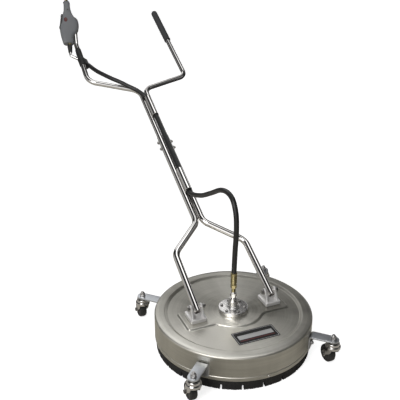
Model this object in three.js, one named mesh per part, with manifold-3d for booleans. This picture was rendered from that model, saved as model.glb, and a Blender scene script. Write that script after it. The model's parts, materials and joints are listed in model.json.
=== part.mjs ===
// A walk-behind rotary surface cleaner for use with a pressure washer.
// Millimetres. +Z is up, +X runs along the handle's hinge axis, and -Y is the front of the machine (the
// operator stands on the +Y side). Pieces are drawn about the deck's axis, with z 0 on the floor; the
// whole machine is then moved so that the origin is on the floor under the middle of its overall box.
import * as THREE from "three";
import { mergeVertices } from "three/addons/utils/BufferGeometryUtils.js";
import Module from "manifold-3d";

const wasm = await Module();
wasm.setup();

// ---------------------------------------------------------------- driving dimensions
const GAP = 0.4; // assembly gap between neighbouring pieces
const FULL_TURN = Math.PI * 2;

const deck = {
  radius: 254,
  sheet: 3,
  wallBottom: 34,
  discTop: 113,
  rimTop: 119,
  shoulder: 11, // radius of the outer rim's rounding
  rimInner: 222,
  discRadius: 213,
  boreRadius: 24.5,
};
const pad = { height: 5, halfLength: 178, halfDepth: 55, discRadius: 97, corner: 14 };

const skirt = {
  outer: 250.4,
  inner: 239,
  top: 31,
  notchTop: 17,
  notchWidth: 6,
  notches: 24,
  firstNotch: 12, // degrees round from +X
};
const strip = { outer: 250.4, inner: 244, top: 44 };

const caster = {
  circle: 328, // radius of the four stem axes round the deck's axis
  trail: 22,
  wheelRadius: 28.5,
  wheelWidth: 25,
  hubBore: 4.4,
  raceRadius: 24,
  raceTop: 86,
  forkTop: 64,
  forkSheet: 3,
  cheekGap: 1.6, // between the wheel and each cheek
  stemRadius: 5,
  axleRadius: 4,
};
const arm = { width: 36, sheet: 5, top: 92, bottom: 44, boltHeights: [78, 62], boltRadius: 4 };

const lean = 62; // handle's lean from the vertical at rest, degrees
const pivot = { height: 158, spacing: 130 };
const bracket = {
  width: 54,
  depth: 62,
  base: 13,
  earInner: 14.5,
  earSheet: 6,
  earHalfDepth: 28,
  earTop: 169,
  boltRadius: 5,
};

const lowerTube = {
  outer: 11.4,
  inner: 10.3,
  bend: 48,
  foot: -17, // station of the lower end; stations run up the handle from the pivot
  kneeStation: 209,
  toeIn: 2, // how much nearer the middle a knee is than its pivot
  pairStation: 318,
  pairHalf: 11.9, // half the distance between the paired tubes' axes
  mouth: 739,
};
const upperTube = { outer: 10, inner: 8.8, foot: 640 };
const crossbar = {
  left: { innerCorner: 1003, outerCorner: 1087, spread: 204, bend: 50 },
  right: { innerCorner: 1012, outerCorner: 1069, spread: 208, bend: 40 },
};
const grip = { start: 1308, end: 1514, radius: 14, endWall: 13 };
const jointBolts = { stations: [677, 709], radius: 3.2, halfLength: 30, headRadius: 6, headHeight: 4.5 };
const hose = { radius: 8.4, height: 20.3 };
const guides = {
  outer: 12.4,
  inner: 10.6,
  upper: { from: 838, to: 942, height: 19.6 },
  lower: { from: 448, to: 549, height: 21.1 },
};

const hub = {
  flangeRadius: 48,
  flangeTop: 131,
  bolts: 6,
  boltCircle: 37,
  holeRadius: 3.6,
  bodyTop: 163,
  couplingTop: 250,
};
const rotor = { height: 62, armReach: 206, tubeRadius: 9, shaftRadius: 8 };

// The gun's frame: where its valve axis meets the left bar's bend, tilted up off the bars and turned in.
const gun = {
  x: -223,
  station: 1330,
  tilt: 15,
  slant: 8.2,
  barOffset: 27, // bar axis from valve axis
  barDepth: 112,
  halfThickness: 18,
  valveRadius: 9,
  stemRadius: 5.5,
  length: 220,
};
const trigger = { pivotX: -23, pivotY: 80, tipY: 152, halfThickness: 6.4, pinRadius: 2.6 };
const latch = { pivotX: -26, pivotY: 137, length: 13, halfThickness: 2 };

// ---------------------------------------------------------------- materials
function metal(colour, roughness) {
  return () => new THREE.MeshStandardMaterial({ color: colour, roughness, metalness: 1 });
}
function dull(colour, roughness) {
  return () => new THREE.MeshStandardMaterial({ color: colour, roughness, metalness: 0 });
}
const brushedSteel = metal(0xa9a69c, 0.38);
const polishedSteel = metal(0xdedcd6, 0.12);
const zincPlate = metal(0xb4bcc6, 0.35);
const nickel = metal(0xcfccc4, 0.22);
const brass = metal(0xb5a15c, 0.3);
const blackRubber = dull(0x1b1b1a, 0.55);
const bristle = dull(0x141414, 0.85);
const gripRubber = dull(0x2f3032, 0.7);
const greyPlastic = dull(0x8a8d91, 0.5);
const darkPlastic = dull(0x2a2b2d, 0.5);

// ---------------------------------------------------------------- geometry helpers
function solid(geometry) {
  const bare = geometry.clone();
  bare.deleteAttribute("normal");
  bare.deleteAttribute("uv");
  const merged = mergeVertices(bare, 1e-3);
  return new wasm.Manifold(
    new wasm.Mesh({
      numProp: 3,
      vertProperties: merged.attributes.position.array,
      triVerts: new Uint32Array(merged.index.array),
    }),
  );
}

function geometryOf(manifold) {
  const mesh = manifold.getMesh();
  const geometry = new THREE.BufferGeometry();
  geometry.setAttribute("position", new THREE.BufferAttribute(new Float32Array(mesh.vertProperties), 3));
  geometry.setIndex(new THREE.BufferAttribute(new Uint32Array(mesh.triVerts), 1));
  geometry.computeVertexNormals();
  return geometry;
}

function join(first, ...others) {
  return geometryOf(others.reduce((sum, other) => sum.add(solid(other)), solid(first)));
}

function cut(first, ...tools) {
  return geometryOf(tools.reduce((rest, tool) => rest.subtract(solid(tool)), solid(first)));
}

// The common part of a geometry and a box given by its lowest and highest corners.
function keepInside(geometry, low, high) {
  return geometryOf(solid(geometry).intersect(solid(box(low, high))));
}

function box(low, high) {
  const size = high.map((value, axis) => value - low[axis]);
  const centre = high.map((value, axis) => (value + low[axis]) / 2);
  return new THREE.BoxGeometry(...size).translate(...centre);
}

// A round bar along Z from bottom to top.
function barZ(radius, bottom, top, sides = 16) {
  const height = top - bottom;
  return new THREE.CylinderGeometry(radius, radius, height, sides)
    .rotateX(Math.PI / 2)
    .translate(0, 0, bottom + height / 2);
}

function barX(radius, from, to, sides = 16) {
  return barZ(radius, from, to, sides).rotateY(Math.PI / 2);
}

function barY(radius, from, to, sides = 16) {
  return barZ(radius, -to, -from, sides).rotateX(Math.PI / 2);
}

// A solid of revolution about Z from [radius, height] pairs listed anticlockwise.
function turned(profile, sides) {
  const points = profile.map(([radius, height]) => new THREE.Vector2(radius, height));
  return new THREE.LatheGeometry(points, sides).rotateX(Math.PI / 2);
}

// The same for a ring-shaped section, which closes on itself.
function turnedRing(profile, sides) {
  return turned([...profile, profile[0]], sides);
}

// A flat plate from an outline in the XY plane, from bottom to top.
function plate(shape, bottom, top, curveSegments = 8) {
  return new THREE.ExtrudeGeometry(shape, {
    depth: top - bottom,
    bevelEnabled: false,
    curveSegments,
  }).translate(0, 0, bottom);
}

// The centre line of a bent tube: straight runs joined by arcs. One sweep step goes to each listed point,
// so a straight run costs one step and a bend costs a few.
class BentPath extends THREE.Curve {
  constructor(corners, bendRadius, stepsPerBend = 5) {
    super();
    const vertices = corners.map((corner) => new THREE.Vector3(...corner));
    this.stations = [vertices[0]];
    for (let i = 1; i < vertices.length - 1; i++) {
      const [before, corner, after] = vertices.slice(i - 1, i + 2);
      this.stations.push(...filletPoints(before, corner, after, bendRadius, stepsPerBend));
    }
    this.stations.push(vertices[vertices.length - 1]);
  }

  get steps() {
    return this.stations.length - 1;
  }

  getPoint(t, target = new THREE.Vector3()) {
    const place = Math.min(Math.max(t, 0), 1) * this.steps;
    const index = Math.min(Math.floor(place), this.steps - 1);
    return target.lerpVectors(this.stations[index], this.stations[index + 1], place - index);
  }

  getUtoTmapping(u) {
    return u;
  }
}

// Points on the arc that rounds a corner, from its start to its end.
function filletPoints(before, corner, after, radius, steps) {
  const inward = before.clone().sub(corner).normalize();
  const outward = after.clone().sub(corner).normalize();
  const halfAngle = inward.angleTo(outward) / 2;
  const reach = radius / Math.tan(halfAngle);
  const middle = inward.clone().add(outward).normalize();
  const centre = corner.clone().addScaledVector(middle, radius / Math.sin(halfAngle));
  const start = corner.clone().addScaledVector(inward, reach).sub(centre);
  const end = corner.clone().addScaledVector(outward, reach).sub(centre);
  const sweep = start.angleTo(end);
  const points = [];
  for (let i = 0; i <= steps; i++) {
    const turn = (sweep * i) / steps;
    const fromStart = Math.sin(sweep - turn) / Math.sin(sweep);
    const fromEnd = Math.sin(turn) / Math.sin(sweep);
    points.push(centre.clone().addScaledVector(start, fromStart).addScaledVector(end, fromEnd));
  }
  return points;
}

// A tube or bar swept along a BentPath. An inner radius of 0 makes it solid.
function swept(path, outer, inner = 0, sides = 10) {
  const section = new THREE.Shape().absarc(0, 0, outer, 0, FULL_TURN);
  if (inner > 0) section.holes.push(new THREE.Path().absarc(0, 0, inner, 0, FULL_TURN, true));
  return new THREE.ExtrudeGeometry(section, {
    steps: path.steps,
    curveSegments: sides / 2,
    bevelEnabled: false,
    extrudePath: path,
  });
}

const group = new THREE.Group();
group.name = "surface_cleaner";
const machine = new THREE.Group(); // its own origin is on the floor under the deck's axis
group.add(machine);

function addPart(name, geometry, material, parent = machine) {
  const mesh = new THREE.Mesh(geometry, material());
  mesh.name = name;
  parent.add(mesh);
  return mesh;
}

// ---------------------------------------------------------------- deck
function deckProfile() {
  const { radius, sheet, wallBottom, discTop, rimTop, shoulder, rimInner, discRadius, boreRadius } = deck;
  const slopedDown = sheet * 0.7;
  const rounding = [];
  const arcSteps = 2;
  for (let i = 0; i <= arcSteps; i++) {
    const angle = (Math.PI / 2) * (i / arcSteps);
    rounding.push([
      radius - shoulder + shoulder * Math.cos(angle),
      rimTop - shoulder + shoulder * Math.sin(angle),
    ]);
  }
  return [
    [radius, wallBottom],
    ...rounding,
    [rimInner, rimTop - 1],
    [discRadius, discTop],
    [boreRadius, discTop],
    [boreRadius, discTop - sheet],
    [discRadius + slopedDown, discTop - sheet],
    [rimInner + slopedDown, rimTop - sheet - 1],
    [radius - shoulder, rimTop - sheet],
    [radius - sheet, rimTop - shoulder],
    [radius - sheet, wallBottom],
  ];
}

function padOutline() {
  const shape = new THREE.Shape();
  const joint = Math.asin(pad.halfDepth / pad.discRadius);
  const { halfLength, halfDepth, corner, discRadius } = pad;
  shape.moveTo(-halfLength + corner, -halfDepth);
  shape.absarc(0, 0, discRadius, Math.PI + joint, FULL_TURN - joint);
  shape.lineTo(halfLength - corner, -halfDepth);
  shape.absarc(halfLength - corner, -halfDepth + corner, corner, -Math.PI / 2, 0);
  shape.absarc(halfLength - corner, halfDepth - corner, corner, 0, Math.PI / 2);
  shape.absarc(0, 0, discRadius, joint, Math.PI - joint);
  shape.lineTo(-halfLength + corner, halfDepth);
  shape.absarc(-halfLength + corner, halfDepth - corner, corner, Math.PI / 2, Math.PI);
  shape.absarc(-halfLength + corner, -halfDepth + corner, corner, Math.PI, Math.PI * 1.5);
  return shape;
}

function boltPattern(boltCircle, count, makeOne) {
  const made = [];
  for (let i = 0; i < count; i++) {
    const angle = (FULL_TURN * (i + 0.5)) / count;
    made.push(makeOne().translate(boltCircle * Math.cos(angle), boltCircle * Math.sin(angle), 0));
  }
  return made;
}

function addDeck() {
  const shell = turnedRing(deckProfile(), 48);
  const raised = plate(padOutline(), deck.discTop - 1, deck.discTop + pad.height, 5);
  const padTop = deck.discTop + pad.height;
  const flangeHoles = boltPattern(hub.boltCircle, hub.bolts, () =>
    barZ(hub.holeRadius, deck.discTop - 10, padTop + 1, 8),
  );
  const armHoles = [];
  forEachCorner((name, angle) => {
    for (const height of arm.boltHeights) {
      const hole = barX(arm.boltRadius + GAP * 2, deck.radius - 12, deck.radius + 5, 8);
      armHoles.push(hole.translate(0, 0, height).rotateZ(angle));
    }
  });
  const bore = barZ(deck.boreRadius, deck.discTop - 10, padTop + 1, 24);
  addPart("deck_shell", cut(join(shell, raised), bore, ...flangeHoles, ...armHoles), brushedSteel);
}

// ---------------------------------------------------------------- brush skirt
function addSkirt() {
  const { outer, inner, top, notchTop, notchWidth, notches, firstNotch } = skirt;
  const ring = turnedRing([[outer, 0], [outer, top], [inner, top], [inner, 0]], 48);
  const cutters = [];
  for (let i = 0; i < notches; i++) {
    const angle = THREE.MathUtils.degToRad(firstNotch) + (FULL_TURN * i) / notches;
    cutters.push(box([inner - 5, -notchWidth / 2, -5], [outer + 5, notchWidth / 2, notchTop]).rotateZ(angle));
  }
  addPart("brush_skirt", cut(ring, ...cutters), bristle);
  const bottom = top + GAP;
  const holder = turnedRing([
    [strip.outer, bottom],
    [strip.outer, strip.top],
    [strip.inner, strip.top],
    [strip.inner, bottom],
  ], 48);
  addPart("brush_strip", holder, darkPlastic);
}

// ---------------------------------------------------------------- casters and their arms
function forEachCorner(work) {
  work("front_left", Math.PI * 1.25);
  work("front_right", Math.PI * 1.75);
  work("rear_right", Math.PI * 0.25);
  work("rear_left", Math.PI * 0.75);
}

// One arm: a flat bar folded down over the deck wall, drawn along +X and turned to its corner.
function armGeometry() {
  const wallFace = deck.radius + GAP;
  const halfWidth = arm.width / 2;
  const leg = box([wallFace, -halfWidth, arm.bottom], [wallFace + arm.sheet, halfWidth, arm.top]);
  const outline = new THREE.Shape();
  outline.moveTo(wallFace, -halfWidth);
  outline.lineTo(caster.circle, -halfWidth);
  outline.absarc(caster.circle, 0, halfWidth, -Math.PI / 2, Math.PI / 2);
  outline.lineTo(wallFace, halfWidth);
  const top = plate(outline, arm.top - arm.sheet, arm.top, 4);
  const holes = arm.boltHeights.map((height) =>
    barX(arm.boltRadius + GAP * 2, wallFace - 2, wallFace + arm.sheet + 2, 8).translate(0, 0, height),
  );
  const stemHole = barZ(caster.stemRadius + GAP, arm.top - 10, arm.top + 5).translate(caster.circle, 0, 0);
  return cut(join(leg, top), ...holes, stemHole);
}

// Backing strap inside the wall with the arm's two bolts through wall and arm, nuts outside.
function armBoltSet() {
  const strapSheet = 3;
  const strapHalfWidth = 11;
  const nut = { radius: 6.5, height: 6, boltEnd: 8 };
  const inside = deck.radius - deck.sheet - GAP * 4;
  const outside = deck.radius + arm.sheet + GAP * 2;
  const strap = box(
    [inside - strapSheet, -strapHalfWidth, arm.bottom + 4],
    [inside, strapHalfWidth, arm.top - 4],
  );
  const bolts = arm.boltHeights.flatMap((height) => [
    barX(arm.boltRadius, inside - 1, outside + nut.boltEnd, 8).translate(0, 0, height),
    barX(nut.radius, outside, outside + nut.height, 6).translate(0, 0, height),
  ]);
  return join(strap, ...bolts);
}

function stemBolt() {
  const { stemRadius, forkTop, forkSheet } = caster;
  const nut = { radius: 8.5, height: 9, boltEnd: 16 };
  const washer = { radius: 10, sheet: 2 };
  const foot = { radius: 7, height: 6 };
  const underside = forkTop - forkSheet;
  const washerTop = arm.top + GAP + washer.sheet;
  return join(
    barZ(stemRadius, underside - foot.height + 1, arm.top + nut.boltEnd, 12),
    barZ(nut.radius, washerTop - 0.2, washerTop + nut.height, 6),
    barZ(washer.radius, arm.top + GAP, washerTop, 12),
    barZ(foot.radius, underside - foot.height, underside - GAP, 6),
  );
}

// Fork with its raceway, drawn about the stem axis, its wheel trailing towards +Y.
function forkGeometry() {
  const { raceRadius, raceTop, forkTop, forkSheet, trail, wheelRadius, stemRadius } = caster;
  const cheekInner = caster.wheelWidth / 2 + caster.cheekGap;
  const axleBoss = 8;
  const race = turned([
    [0, forkTop - forkSheet],
    [raceRadius - 1, forkTop - forkSheet],
    [raceRadius, forkTop],
    [raceRadius - 4, forkTop + 5],
    [raceRadius - 5, forkTop + 8],
    [raceRadius, forkTop + 12],
    [raceRadius, raceTop - 4],
    [raceRadius - 5, raceTop],
    [0, raceTop],
  ], 14);
  const outline = new THREE.Shape();
  outline.moveTo(-raceRadius + 4, forkTop);
  outline.lineTo(-7, forkTop - 20);
  outline.lineTo(trail - axleBoss, wheelRadius);
  outline.absarc(trail, wheelRadius, axleBoss, Math.PI, FULL_TURN);
  outline.lineTo(raceRadius - 2, forkTop);
  const cheek = plate(outline, cheekInner, cheekInner + forkSheet, 3);
  const right = cheek.clone().rotateX(Math.PI / 2).rotateZ(Math.PI / 2);
  const left = right.clone().translate(-2 * cheekInner - forkSheet, 0, 0);
  const axleHole = barX(caster.axleRadius + GAP, -30, 30, 12).translate(0, trail, wheelRadius);
  const stemHole = barZ(stemRadius + GAP, 0, raceTop + 5, 12);
  return cut(join(race, left, right), axleHole, stemHole);
}

function wheelGeometry() {
  const { wheelRadius, wheelWidth, hubBore } = caster;
  const half = wheelWidth / 2;
  const shoulder = 6;
  return turnedRing([
    [hubBore, -half],
    [wheelRadius - shoulder, -half],
    [wheelRadius, -half + shoulder],
    [wheelRadius, half - shoulder],
    [wheelRadius - shoulder, half],
    [hubBore, half],
  ], 24).rotateY(Math.PI / 2);
}

function axleGeometry() {
  const cheekOuter = caster.wheelWidth / 2 + caster.cheekGap + caster.forkSheet + GAP;
  const nut = { radius: 7, height: 5 };
  return join(
    barX(caster.axleRadius, -cheekOuter - 1, cheekOuter + 1, 12),
    barX(nut.radius, cheekOuter, cheekOuter + nut.height, 6),
    barX(nut.radius, -cheekOuter - nut.height, -cheekOuter, 6),
  );
}

function addCasters() {
  forEachCorner((corner, angle) => {
    const side = new THREE.Group();
    side.rotation.z = angle;
    machine.add(side);
    addPart(`caster_arm_${corner}`, armGeometry(), zincPlate, side);
    addPart(`arm_bolts_${corner}`, armBoltSet(), nickel, side);

    const stem = new THREE.Group();
    stem.position.set(caster.circle * Math.cos(angle), caster.circle * Math.sin(angle), 0);
    machine.add(stem);
    addPart(`stem_bolt_${corner}`, stemBolt(), nickel, stem);
    addPart(`caster_fork_${corner}`, forkGeometry(), nickel, stem);
    const wheel = addPart(`caster_wheel_${corner}`, wheelGeometry(), blackRubber, stem);
    wheel.position.set(0, caster.trail, caster.wheelRadius);
    const axle = addPart(`wheel_axle_${corner}`, axleGeometry(), nickel, stem);
    axle.position.copy(wheel.position);
  });
}

// ---------------------------------------------------------------- hub, coupling and rotor
function addHub() {
  const flangeBottom = deck.discTop + pad.height + GAP;
  const { flangeRadius, flangeTop, bodyTop } = hub;
  const barrelRadius = deck.boreRadius - 1;
  const bearingBore = 17;
  const waterway = 5;
  const body = turnedRing([
    [bearingBore, 82],
    [barrelRadius, 82],
    [barrelRadius, flangeBottom],
    [flangeRadius, flangeBottom],
    [flangeRadius, flangeTop - 2],
    [flangeRadius - 2, flangeTop],
    [21, flangeTop],
    [19.5, flangeTop + 5],
    [17, flangeTop + 6],
    [14.5, bodyTop - 8],
    [13, bodyTop - 7],
    [13, bodyTop],
    [waterway, bodyTop],
    [waterway, 140],
    [bearingBore, 134],
  ], 20);
  const boltHoles = boltPattern(hub.boltCircle, hub.bolts, () =>
    barZ(hub.holeRadius, flangeBottom - 5, flangeTop + 5, 8),
  );
  addPart("swivel_housing", cut(body, ...boltHoles), nickel);

  const ringTop = deck.discTop - deck.sheet - GAP;
  const ring = turnedRing([
    [26, ringTop - 4],
    [flangeRadius, ringTop - 4],
    [flangeRadius, ringTop],
    [26, ringTop],
  ], 20);
  const studs = boltPattern(hub.boltCircle, hub.bolts, () =>
    join(barZ(3, ringTop - 2, flangeTop + 8, 8), barZ(6, flangeTop + GAP, flangeTop + 5.5, 6)),
  );
  addPart("flange_bolt_ring", join(ring, ...studs), nickel);

  const shaft = turnedRing([
    [4, 48],
    [14, 48],
    [14, 76],
    [rotor.shaftRadius, 76],
    [rotor.shaftRadius, 132],
    [4, 132],
  ], 16);
  const crossHole = barX(rotor.tubeRadius + GAP, -20, 20, 12).translate(0, 0, rotor.height);
  addPart("swivel_shaft", cut(shaft, crossHole), nickel);
  const aroundShaft = rotor.shaftRadius + 0.5;
  const insideBore = bearingBore - 0.5;
  addPart("shaft_bearing", turnedRing([
    [aroundShaft, 88], [insideBore, 88], [insideBore, 100], [aroundShaft, 100],
  ], 20), nickel);
  addPart("shaft_seal", turnedRing([
    [aroundShaft, 108], [insideBore, 108], [insideBore, 115], [aroundShaft, 115],
  ], 20), blackRubber);

  const coupling = turned([
    [0, bodyTop + GAP],
    [9.5, bodyTop + GAP],
    [9.5, 181],
    [6.5, 183],
    [6.5, 199],
    [9.2, 200],
    [9.2, 212],
    [7, 213],
    [7, 217],
    [9.6, 218],
    [9.6, hub.couplingTop],
    [0, hub.couplingTop],
  ], 12);
  addPart("hose_coupling", coupling, brass);
}

function addRotor() {
  const { height, armReach, tubeRadius } = rotor;
  const barEnds = armReach - tubeRadius;
  const path = new BentPath(
    [[-armReach, 0, height - 12], [-barEnds, 0, height], [barEnds, 0, height], [armReach, 0, height - 12]],
    6,
    2,
  );
  addPart("spray_bar", swept(path, tubeRadius, 0, 12), polishedSteel);
  for (const [name, sign] of [["nozzle_left", -1], ["nozzle_right", 1]]) {
    const nozzle = turned([[0, 30], [4, 30], [7, 36], [7, 43], [0, 43]], 12);
    addPart(name, nozzle.translate(sign * (armReach + 1), 0, -1), brass);
  }
}

// ---------------------------------------------------------------- brackets
function bracketGeometry() {
  const bottom = deck.discTop + pad.height + GAP;
  const baseTop = bottom + bracket.base;
  const { width, depth, earInner, earSheet, earHalfDepth, earTop } = bracket;
  const base = box([-width / 2, -depth / 2, bottom], [width / 2, depth / 2, baseTop]);
  const ear = new THREE.Shape();
  const rounding = earTop - pivot.height;
  ear.moveTo(-earHalfDepth, baseTop - 1);
  ear.lineTo(earHalfDepth, baseTop - 1);
  ear.lineTo(rounding, pivot.height);
  ear.absarc(0, pivot.height, rounding, 0, Math.PI);
  const ears = [-earInner - earSheet, earInner].map((start) =>
    plate(ear, start, start + earSheet, 5).rotateX(Math.PI / 2).rotateZ(Math.PI / 2),
  );
  const hole = barX(bracket.boltRadius + GAP, -40, 40, 16).translate(0, 0, pivot.height);
  return cut(join(base, ...ears), hole);
}

function addBrackets() {
  for (const [side, sign] of [["left", -1], ["right", 1]]) {
    const place = new THREE.Group();
    place.position.x = sign * pivot.spacing;
    machine.add(place);
    addPart(`handle_bracket_${side}`, bracketGeometry(), nickel, place);
    const earOuter = bracket.earInner + bracket.earSheet + GAP;
    const head = { radius: 8.5, height: 7 };
    const bolt = join(
      barX(bracket.boltRadius, -earOuter - 2, earOuter + head.height - 2, 12),
      barX(head.radius, -earOuter - head.height, -earOuter, 6),
      barX(head.radius, earOuter, earOuter + head.height, 6),
    );
    addPart(`pivot_bolt_${side}`, bolt, nickel, place).position.z = pivot.height;
  }
}

// ---------------------------------------------------------------- handle
// In the handle's own frame +Y runs up the handle from the pivot and +Z is its front, upper side.
const handle = new THREE.Group();
handle.position.z = pivot.height;
handle.rotation.x = THREE.MathUtils.degToRad(90 - lean);
machine.add(handle);

const sine = (degrees) => Math.sin(THREE.MathUtils.degToRad(degrees));
const cosine = (degrees) => Math.cos(THREE.MathUtils.degToRad(degrees));

// Where a point of the gun's own frame lies in the handle's frame.
function gunPoint(x, y) {
  const along = x * -sine(gun.slant) + y * cosine(gun.slant);
  const across = x * cosine(gun.slant) + y * sine(gun.slant);
  return [gun.x + across, gun.station + along * cosine(gun.tilt), along * sine(gun.tilt)];
}

function jointBoltHoles() {
  const reach = jointBolts.halfLength + 5;
  return jointBolts.stations.map((station) =>
    barX(jointBolts.radius + GAP, -reach, reach, 12).translate(0, station, 0),
  );
}

function addTubes() {
  const { pairHalf, mouth, outer, inner, bend, foot, kneeStation, pairStation, toeIn } = lowerTube;
  const spread = pivot.spacing;
  const barTop = grip.end - grip.endWall - 1;
  const barEnd = gunPoint(gun.barOffset, gun.barDepth);
  const barBend = gunPoint(gun.barOffset, 0);
  const sides = [
    { side: "left", sign: -1, end: [barBend, barEnd] },
    { side: "right", sign: 1, end: [[crossbar.right.spread, barTop, 0]] },
  ];
  for (const { side, sign, end } of sides) {
    const corners = crossbar[side];
    const lowerPath = new BentPath(
      [
        [sign * spread, foot, 0],
        [sign * (spread - toeIn), kneeStation, 0],
        [sign * pairHalf, pairStation, 0],
        [sign * pairHalf, mouth, 0],
      ],
      bend,
      4,
    );
    const pivotHole = barX(bracket.boltRadius + GAP, -16, 16, 12).translate(sign * spread, 0, 0);
    const lower = cut(swept(lowerPath, outer, inner), pivotHole, ...jointBoltHoles());
    addPart(`lower_tube_${side}`, lower, polishedSteel, handle);

    const upperPath = new BentPath(
      [
        [sign * pairHalf, upperTube.foot, 0],
        [sign * pairHalf, corners.innerCorner, 0],
        [sign * corners.spread, corners.outerCorner, 0],
        ...end,
      ],
      corners.bend,
      4,
    );
    const upper = cut(swept(upperPath, upperTube.outer, upperTube.inner), ...jointBoltHoles());
    addPart(`upper_tube_${side}`, upper, polishedSteel, handle);
  }
  jointBolts.stations.forEach((station, index) => {
    const { halfLength, radius, headRadius, headHeight } = jointBolts;
    const bolt = join(
      barX(radius, -halfLength, halfLength, 12),
      barX(headRadius, -halfLength, -halfLength + headHeight, 6),
      barX(headRadius, halfLength - headHeight - 1, halfLength - 1, 6),
    );
    addPart(index ? "joint_bolt_upper" : "joint_bolt_lower", bolt, nickel, handle).position.y = station;
  });
}

function addGrip() {
  const { start, end, radius, endWall } = grip;
  const bore = upperTube.outer + GAP;
  const depth = end - start;
  const sleeve = turned([
    [bore, 0],
    [radius, 0],
    [radius, depth - 6],
    [radius - 5, depth],
    [0, depth],
    [0, depth - endWall],
    [bore, depth - endWall],
    [bore, 0],
  ], 16);
  const mesh = addPart("grip", sleeve.rotateX(-Math.PI / 2), gripRubber, handle);
  mesh.position.set(crossbar.right.spread, start, 0);
}

function addGuides() {
  for (const [name, { from, to, height }] of [
    ["hose_guide_upper", guides.upper],
    ["hose_guide_lower", guides.lower],
  ]) {
    const path = new BentPath([[0, from, height], [0, to, height]], 1);
    addPart(name, swept(path, guides.outer, guides.inner, 12), polishedSteel, handle);
  }
}

// ---------------------------------------------------------------- hose
const outletPipeRadius = 6;

// The pipe from the gun's outlet passes behind the left bar and ends in line with the hose.
const outletPath = new BentPath(
  [gunPoint(0, -8), gunPoint(0, -58), [-190, 1245, -23.7], [-187.1, 1234.4, -20.1]],
  14,
  4,
);

const upperHosePath = new BentPath(
  [
    [-187, 1234, -20],
    [-177, 1198, -8],
    [-148, 1122, 11],
    [-105, 1066, hose.height],
    [0, 950, hose.height],
    [0, guides.lower.from, hose.height],
  ],
  35,
  3,
);

function addHoses() {
  addPart("hose_upper", swept(upperHosePath, hose.radius, 0, 10), blackRubber, handle);

  const loopTop = 520;
  const lastRun = 75; // straight length in line with the lower guide
  const drop = guides.lower.from - 1.5;
  const mouthY = drop * sine(lean) - hose.height * cosine(lean);
  const mouthZ = pivot.height + drop * cosine(lean) + hose.height * sine(lean);
  const loop = new BentPath(
    [
      [0, 0, hub.couplingTop + GAP],
      [0, -6, loopTop],
      [0, 140, loopTop - 28],
      [0, mouthY - lastRun * sine(lean), mouthZ - lastRun * cosine(lean)],
      [0, mouthY, mouthZ],
    ],
    64,
    5,
  );
  addPart("hose_loop", swept(loop, hose.radius, 0, 10), blackRubber);
}

// A rubber boot round the left bar that also holds the end of the hose behind it.
function addHoseClip() {
  const station = 1212;
  const half = 20;
  const bootTop = 1288;
  const corner = new THREE.Vector3(-crossbar.left.spread, crossbar.left.outerCorner, 0);
  const bend = new THREE.Vector3(...gunPoint(gun.barOffset, 0));
  const barAt = (place) => corner.clone().lerp(bend, (place - corner.y) / (bend.y - corner.y)).toArray();
  const alongBar = (from, to, radius, sides) =>
    swept(new BentPath([barAt(from), barAt(to)], 1), radius, 0, sides);
  const shape = new THREE.Shape();
  shape.absarc(barAt(station)[0], 0, 14, Math.PI * 0.25, Math.PI * 1.25);
  shape.absarc(-183, -14, 13, Math.PI * 1.25, Math.PI * 2.25);
  const block = plate(shape, -half, half, 5).rotateX(Math.PI / 2).translate(0, station, 0);
  const sleeve = alongBar(station - half, bootTop, 13.6, 14);
  const barHole = alongBar(station - half - 5, bootTop + 5, upperTube.outer + GAP * 2, 16);
  const pipeHole = swept(outletPath, outletPipeRadius + GAP * 2, 0, 12);
  const hoseHole = swept(upperHosePath, hose.radius + GAP * 2, 0, 12);
  addPart("hose_clip", cut(join(block, sleeve), barHole, pipeHole, hoseHole), blackRubber, handle);
}

// ---------------------------------------------------------------- gun
const gunFrame = new THREE.Group();
gunFrame.position.set(gun.x, gun.station, 0);
gunFrame.rotation.set(THREE.MathUtils.degToRad(gun.tilt), 0, THREE.MathUtils.degToRad(-gun.slant));
handle.add(gunFrame);

// The body's outline, valve axis along +Y: narrow neck at the inlet, the bar's socket on the right.
function gunOutline() {
  const shape = new THREE.Shape();
  shape.moveTo(-26, 0);
  shape.lineTo(18, 0);
  shape.lineTo(19, 34);
  shape.quadraticCurveTo(36, 38, 42, 70);
  shape.quadraticCurveTo(46, 112, 36, 134);
  shape.lineTo(25, 138);
  shape.quadraticCurveTo(15, 165, 14, 190);
  shape.lineTo(15, gun.length);
  shape.lineTo(-12, gun.length);
  shape.quadraticCurveTo(-13, 186, -19, 160);
  shape.lineTo(-25, 110);
  shape.lineTo(-35, 90);
  shape.quadraticCurveTo(-36, 60, -31, 28);
  shape.closePath();
  return shape;
}

function triggerOutline() {
  const { pivotX, pivotY, tipY } = trigger;
  const shape = new THREE.Shape();
  shape.moveTo(pivotX + 6, pivotY);
  shape.lineTo(pivotX + 4, pivotY + 18);
  shape.lineTo(pivotX + 4, tipY);
  shape.lineTo(pivotX - 3, tipY + 3);
  shape.quadraticCurveTo(pivotX - 9, 128, pivotX - 11, 104);
  shape.lineTo(pivotX - 15, pivotY + 6);
  shape.lineTo(pivotX - 12, pivotY - 3);
  shape.absarc(pivotX, pivotY, 6, Math.PI * 1.2, FULL_TURN);
  return shape;
}

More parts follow.
